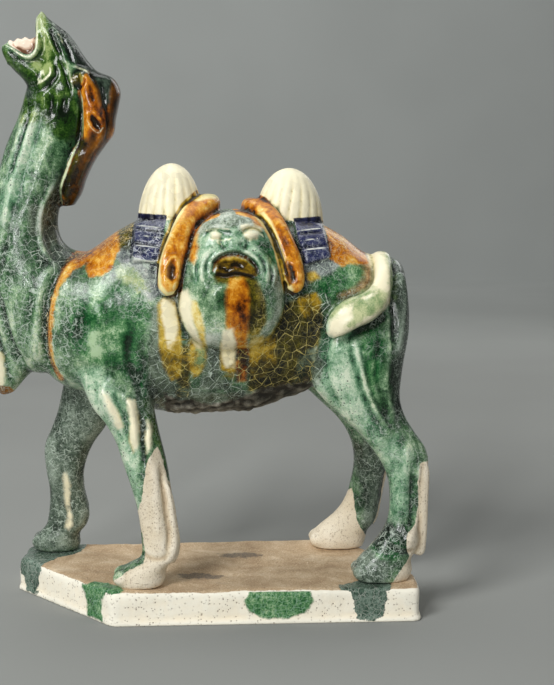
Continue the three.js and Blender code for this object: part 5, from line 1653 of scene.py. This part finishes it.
# Outlines of glaze on the slab: x and height on its side faces, x and y on its top
SLAB_RUNS = [
    [(-82, 21.6), (-64, 21.6), (-68, 14), (-68.5, 6), (-67.5, 1.5), (-78, 1.5), (-77.5, 9), (-80, 16)],
    [(18, 20), (28, 21.6), (44, 21.4), (53, 19), (55, 13), (51, 7), (40, 3.4), (27, 3), (18, 6.6),
     (14.6, 13)],
]
SLAB_DARK_RUNS = [
    [(76, 21.6), (96, 21.6), (98, 13), (96, 3), (91, 1.4), (82, 1.4), (79, 8), (78, 15)],
    [(-125, 22), (-108, 22), (-110, 14), (-111, 4), (-112, 1), (-119, 1), (-120, 9), (-124, 13)],
]
SLAB_TOP_GREEN = [
    [(-82, -36), (-64, -60), (-58, -60), (-55, -53), (-59, -45), (-66, -38), (-74, -34)],
]
SLAB_TOP_BLACK = [
    [(72, -60), (100, -60), (102, -44), (84, -40), (70, -50)],
    [(-127, 14), (-108, 4), (-98, 20), (-86, 34), (-84, 48), (-104, 56), (-127, 52)],
]
# Dark grey patches on the top, under the belly
SLAB_TOP_DARK = [
    [(-24, -30), (-4, -34), (6, -28), (-6, -22), (-22, -22)],
    [(4, 14), (22, 10), (30, 18), (14, 24), (2, 22)],
]


def slab_rings():
    """The slab's outline at each level, with its corners rounded."""
    corners = np.array(SLAB_CORNERS)
    rings = []
    for level, inset in SLAB_LEVELS:
        points = []
        for here, before, after in zip(corners, np.roll(corners, 1, axis=0), np.roll(corners, -1, axis=0)):
            back, ahead = before - here, after - here
            back, ahead = back / np.linalg.norm(back), ahead / np.linalg.norm(ahead)
            inward = back + ahead
            inward /= np.linalg.norm(inward)
            half = math.acos(np.clip(back @ ahead, -1, 1)) / 2
            corner = here + inward * inset / math.sin(half)
            reach = SLAB_CORNER_RADIUS / math.tan(half)
            start, end = corner + back * reach, corner + ahead * reach
            for t in np.linspace(0, 1, 5):
                points.append((1 - t) ** 2 * start + 2 * t * (1 - t) * corner + t**2 * end)
        rings.append(np.column_stack([points, np.full(len(points), float(level))]))
    return rings


def shape_slab(slab):
    """Rounds the edges and makes the faces as uneven as cut clay."""
    mesh = slab.data
    points = smoothed(read_points(mesh), read_edges(mesh), 6, keep_volume=False)
    write_points(mesh, points)
    normals = read_normals(mesh)
    off_floor = np.clip((points[:, 2] - 1.2) / 3, 0, 1)
    uneven = waves(points, 3, 46, 0.5) + waves(points, 8, 14, 0.16) + waves(points, 5, 6, 0.07) - 0.45
    points = points + normals * (uneven * off_floor)[:, None]
    low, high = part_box("plinth")
    write_points(mesh, keep_in_box(points, low, high))


def slab_fields(slab):
    """Stores where the glaze runs, the dark grey patches under the belly and the dust lie on the slab."""
    mesh = slab.data
    points, edges, normals = read_points(mesh), read_edges(mesh), read_normals(mesh)

    def best_of(axes, outlines, where):
        distances = [area_distance(points[:, axes], outline) for outline in outlines]
        return np.clip(np.max(distances, axis=0), -FIELD_REACH, FIELD_REACH) - np.where(where, 0, FIELD_REACH)

    side_view, top_view = [0, 2], [0, 1]
    upright = np.abs(normals[:, 2]) < 0.6
    level = normals[:, 2] > 0.3
    near = points[:, 1] < 0
    green = best_of(side_view, SLAB_RUNS, near | (points[:, 0] < -100))
    dark = best_of(side_view, SLAB_DARK_RUNS, near | (points[:, 0] < -96))
    paint(slab, "green_run", np.where(upright, green, best_of(top_view, SLAB_TOP_GREEN, level)))
    paint(slab, "dark_run", np.where(upright, dark, best_of(top_view, SLAB_TOP_BLACK, level)))
    paint(slab, "grey_under_belly", best_of(top_view, SLAB_TOP_DARK, level))
    dust = np.clip((normals[:, 2] - 0.55) / 0.35, 0, 1) * np.clip((points[:, 2] - 14) / 5, 0, 1)
    paint(slab, "dust", dust)
    paint(slab, "hollow", hollowness(points, normals, edges, 6, 0.3))


def slab_clay(tree, vector, blotch, grain, ragged):
    """The cream clay with its dusty top and dark grey patches under the belly: its colour and its pits."""
    tone = total(-0.16, (blotch, 0.6), (attribute(tree, "hollow"), 0.3), clamp=True)
    pits = use_group(tree, "Pinholes", Vector=vector, Scale=640.0, Size=0.32, Share=0.6)["Pits"]
    pits_seen = times(pits, remap(blotch, 0.35, 0.65, 0.1, 0.7))
    cream = mixed(pits_seen, ramp(tone, SLAB_CREAM), srgb(120, 92, 64))
    dust = ramp(total(-0.45, (grain, 0.9), (blotch, 1.0), clamp=True), SLAB_DUST)
    crumbs = remap(noise(vector, 1.1, 2, 0.6), 0.6, 0.68, 0.0, 0.55)
    dust = mixed(crumbs, dust, srgb(240, 224, 194))
    dusty = remap(total(-0.55, (ragged, 1.1), (attribute(tree, "dust"), 1.0)), 0.3, 0.7)
    grey_under_belly = times(edge_mask(tree, "grey_under_belly", ragged, 14.0, 3.0), remap(grain, 0.35, 0.6, 0.3, 0.85))
    return mixed(grey_under_belly, mixed(dusty, cream, dust), srgb(84, 82, 78)), pits


def slab_earthenware():
    material, tree, vector = new_material("slab_earthenware")
    blotch = noise(vector, 18, 4, 0.6, 0.3)
    ragged = noise(vector, 5, 3, 0.6)
    grain = noise(vector, 0.9, 3, 0.7)
    cloud = noise(vector, 3.0, 3, 0.65)
    colour, pits = slab_clay(tree, vector, blotch, grain, ragged)
    run = edge_mask(tree, "green_run", ragged, 4.0, 1.5)
    dark = edge_mask(tree, "dark_run", ragged, 6.0, 0.6)
    depth = total(-1.21, (grain, 1.1), (cloud, 1.2), (blotch, 0.8), clamp=True)
    craze = use_group(tree, "Craze", Vector=vector, Scale=330.0, Width=0.08, Warp=0.0014)["Lines"]
    for mask, stops, line_colour, least in (
        (run, BRIGHT_GREEN, srgb(150, 186, 156), 0.15),
        (dark, SLAB_BLACK, srgb(176, 182, 170), 0.05),
    ):
        lines = times(craze, remap(cloud, 0.4, 0.6, least, 0.6))
        colour = mixed(mask, colour, mixed(lines, ramp(depth, stops), line_colour))
    glossy = largest(run, dark)
    height = total(0.0, (grain, 0.22), (pits, -0.45), (glossy, 0.35), (ragged, 0.3))
    rough = mixed_value(glossy, SLAB_ROUGHNESS, SLAB_RUN_ROUGHNESS)
    return finish_material(material, colour, rough, height, SLAB_RELIEF)


def dress(piece, material):
    """Gives a piece its smooth look and its one material."""
    pick(piece)
    bpy.ops.object.shade_smooth()
    piece.data.materials.clear()
    piece.data.materials.append(material)


class CamelSettings(bpy.types.PropertyGroup):
    """Sizes and colours that a user would change."""

    body_grain: bpy.props.FloatProperty(
        name="Body grain", description="Face size of the body before the smaller forms are added",
        default=0.0016, min=0.001, max=0.004, precision=5, unit="LENGTH",
    )
    figure_grain: bpy.props.FloatProperty(
        name="Figure grain", description="Face size of the whole figure before carving",
        default=0.00092, min=0.0006, max=0.003, precision=5, unit="LENGTH",
    )
    most_triangles: bpy.props.IntProperty(
        name="Most triangles", description="The figure is thinned to this many triangles",
        default=144000, min=20000, max=150000,
    )
    # Painted shade: one sheet of paper, coloured darker on the floor than on the wall
    shaded_floor_colour: bpy.props.FloatVectorProperty(
        name="Floor", description="Colour of the floor",
        default=srgb(138, 140, 136), subtype="COLOR", size=3, min=0, max=1,
    )
    lit_wall_colour: bpy.props.FloatVectorProperty(
        name="Wall", description="Colour of the backdrop where it has risen from the floor",
        default=srgb(190, 194, 190), subtype="COLOR", size=3, min=0, max=1,
    )


class CAMEL_OT_figure(bpy.types.Operator):
    """Model, carve and glaze the camel"""

    bl_idname = "camel.figure"
    bl_label = "Camel"

    def execute(self, context):
        settings = context.scene.camel_settings
        figure = one_mesh("camel_figure", body_forms(), settings.body_grain)
        mesh = figure.data
        write_points(mesh, smoothed(read_points(mesh), read_edges(mesh), 9))
        figure = one_mesh("camel_figure", [figure, *added_forms()], settings.figure_grain)
        sculpt(figure)
        thin_out(figure, settings.most_triangles)
        split_long_edges(figure, LONGEST_EDGE)
        low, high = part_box("camel")
        low = low.copy()
        low.z -= BEDDING * MM
        write_points(figure.data, keep_in_box(read_points(figure.data), low, high))
        lay_out_glazes(figure)
        dress(figure, glazed_earthenware())
        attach(figure, "root")
        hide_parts("camel")
        return {"FINISHED"}


class CAMEL_OT_slab(bpy.types.Operator):
    """Model and glaze the slab under the camel"""

    bl_idname = "camel.slab"
    bl_label = "Slab"

    def execute(self, context):
        slab = one_mesh("slab", [loft(slab_rings())], SLAB_GRAIN * MM)
        shape_slab(slab)
        slab_fields(slab)
        dress(slab, slab_earthenware())
        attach(slab, "root")
        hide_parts("plinth")
        return {"FINISHED"}


def paper_sweep(settings):
    """A sheet of paper under the figure that rises behind it, painted darker on the floor than up the wall as
    shade.
    """
    bpy.ops.object.select_all(action="DESELECT")
    bpy.ops.mesh.primitive_plane_add(size=6, location=(0, -0.4, 0))
    sweep = bpy.context.object
    sweep.name = "sweep"
    bpy.ops.object.mode_set(mode="EDIT")

    def pick_back_edge():
        mesh = bmesh.from_edit_mesh(sweep.data)
        for edge in mesh.edges:
            edge.select = all(vertex.co.y > 0 and vertex.co.z < 1 for vertex in edge.verts)
        mesh.select_flush_mode()
        bmesh.update_edit_mesh(sweep.data)

    pick_back_edge()
    bpy.ops.mesh.extrude_region_move(TRANSFORM_OT_translate={"value": (0, 0, 3.0)})
    pick_back_edge()
    bpy.ops.mesh.bevel(offset=1.1, segments=32, affect="EDGES")
    bpy.ops.mesh.select_all(action="SELECT")
    bpy.ops.mesh.normals_make_consistent(inside=False)
    bpy.ops.object.mode_set(mode="OBJECT")
    material, tree, vector = new_material("floor_paper")
    fleck = remap(noise(vector, 300, 2), 0.3, 0.7)
    lit_and_shaded_papers = [
        mixed(fleck, [part * 0.97 for part in paper], [part * 1.02 for part in paper])
        for paper in (settings.shaded_floor_colour, settings.lit_wall_colour)
    ]
    back = node(tree, "ShaderNodeSeparateXYZ", {"Vector": vector}).outputs["Y"]
    shader = tree.nodes["Principled BSDF"]
    # painted shade and light: darker on the floor, lighter as the paper rises into the wall
    give(tree, shader.inputs["Base Color"], mixed(remap(back, 1.3, 3.1, kind="LINEAR"), *lit_and_shaded_papers))
    give(tree, shader.inputs["Roughness"], 0.7)
    dress(sweep, material)
    return sweep


# (name, place, size, power); all but the last aim at the figure
LIGHTS = [
    ("key", (-0.75, -0.95, 1.05), (0.5, 0.6), 16.5),
    ("window", (-0.42, -1.45, 0.42), (0.16, 0.24), 4.6),
    ("back", (0.8, 1.1, 0.8), (0.8, 0.8), 3),
    ("fill", (1.1, -0.9, 0.5), (1.0, 1.0), 1.6),
    ("top", (0.1, 0.5, 1.3), (1.2, 0.6), 4),
    ("wall", (-0.9, 0.7, 2.2), (2.8, 1.8), 32),
]
FIGURE_AIM = (-0.01, 0.0, 0.17)
WALL_AIM = (-0.3, 2.6, 1.0)
CAMERA_PLACE = (-0.01314, -0.845, 0.2607)
CAMERA_TILT, CAMERA_TURN = 83.08, -3.4
SENSOR_WIDTH = 36
LENS_SHARE = 1400 / 685  # focal length over the picture's long side


def area_light(name, place, size, power):
    data = bpy.data.lights.new(name, "AREA")
    data.shape = "RECTANGLE"
    data.size, data.size_y = size
    data.energy = power
    light = bpy.data.objects.new(name, data)
    light.location = place
    away = light.location - Vector(WALL_AIM if name == "wall" else FIGURE_AIM)
    light.rotation_euler = away.to_track_quat("Z", "Y").to_euler()
    bpy.context.scene.collection.objects.link(light)


def photo_camera():
    data = bpy.data.cameras.new("camera")
    data.sensor_width = SENSOR_WIDTH
    data.lens = SENSOR_WIDTH * LENS_SHARE
    data.clip_start = 0.01
    camera = bpy.data.objects.new("camera", data)
    camera.location = CAMERA_PLACE
    camera.rotation_euler = (math.radians(CAMERA_TILT), 0, math.radians(CAMERA_TURN))
    bpy.context.scene.collection.objects.link(camera)
    return camera


class CAMEL_OT_stage(bpy.types.Operator):
    """Set the floor, the lights and the camera"""

    bl_idname = "camel.stage"
    bl_label = "Stage"

    def execute(self, context):
        scene = context.scene
        floor = paper_sweep(scene.camel_settings)
        for light in LIGHTS:
            area_light(*light)
        world = bpy.data.worlds.new("studio")
        world.use_nodes = True
        background = world.node_tree.nodes["Background"]
        background.inputs["Color"].default_value = (0.86, 0.88, 0.9, 1)
        background.inputs["Strength"].default_value = 0.11
        scene.world = world
        scene.camera = photo_camera()
        scene.view_settings.view_transform = "Standard"
        return {"FINISHED"}


class CAMEL_PT_panel(bpy.types.Panel):
    """Lists the steps that make the camel"""

    bl_idname = "CAMEL_PT_panel"
    bl_label = "Sancai camel"
    bl_space_type = "VIEW_3D"
    bl_region_type = "UI"
    bl_category = "Camel"

    def draw(self, context):
        for name in CamelSettings.__annotations__:
            self.layout.prop(context.scene.camel_settings, name)
        for operator in OPERATORS:
            self.layout.operator(operator.bl_idname)


OPERATORS = (CAMEL_OT_figure, CAMEL_OT_slab, CAMEL_OT_stage)
CLASSES = (CamelSettings, *OPERATORS, CAMEL_PT_panel)


def register():
    for kind in CLASSES:
        bpy.utils.register_class(kind)
    bpy.types.Scene.camel_settings = bpy.props.PointerProperty(type=CamelSettings)


def unregister():
    del bpy.types.Scene.camel_settings
    for kind in reversed(CLASSES):
        bpy.utils.unregister_class(kind)


def main():
    register()
    bpy.ops.camel.figure()
    bpy.ops.camel.slab()
    bpy.ops.camel.stage()


if __name__ == "__main__":
    main()
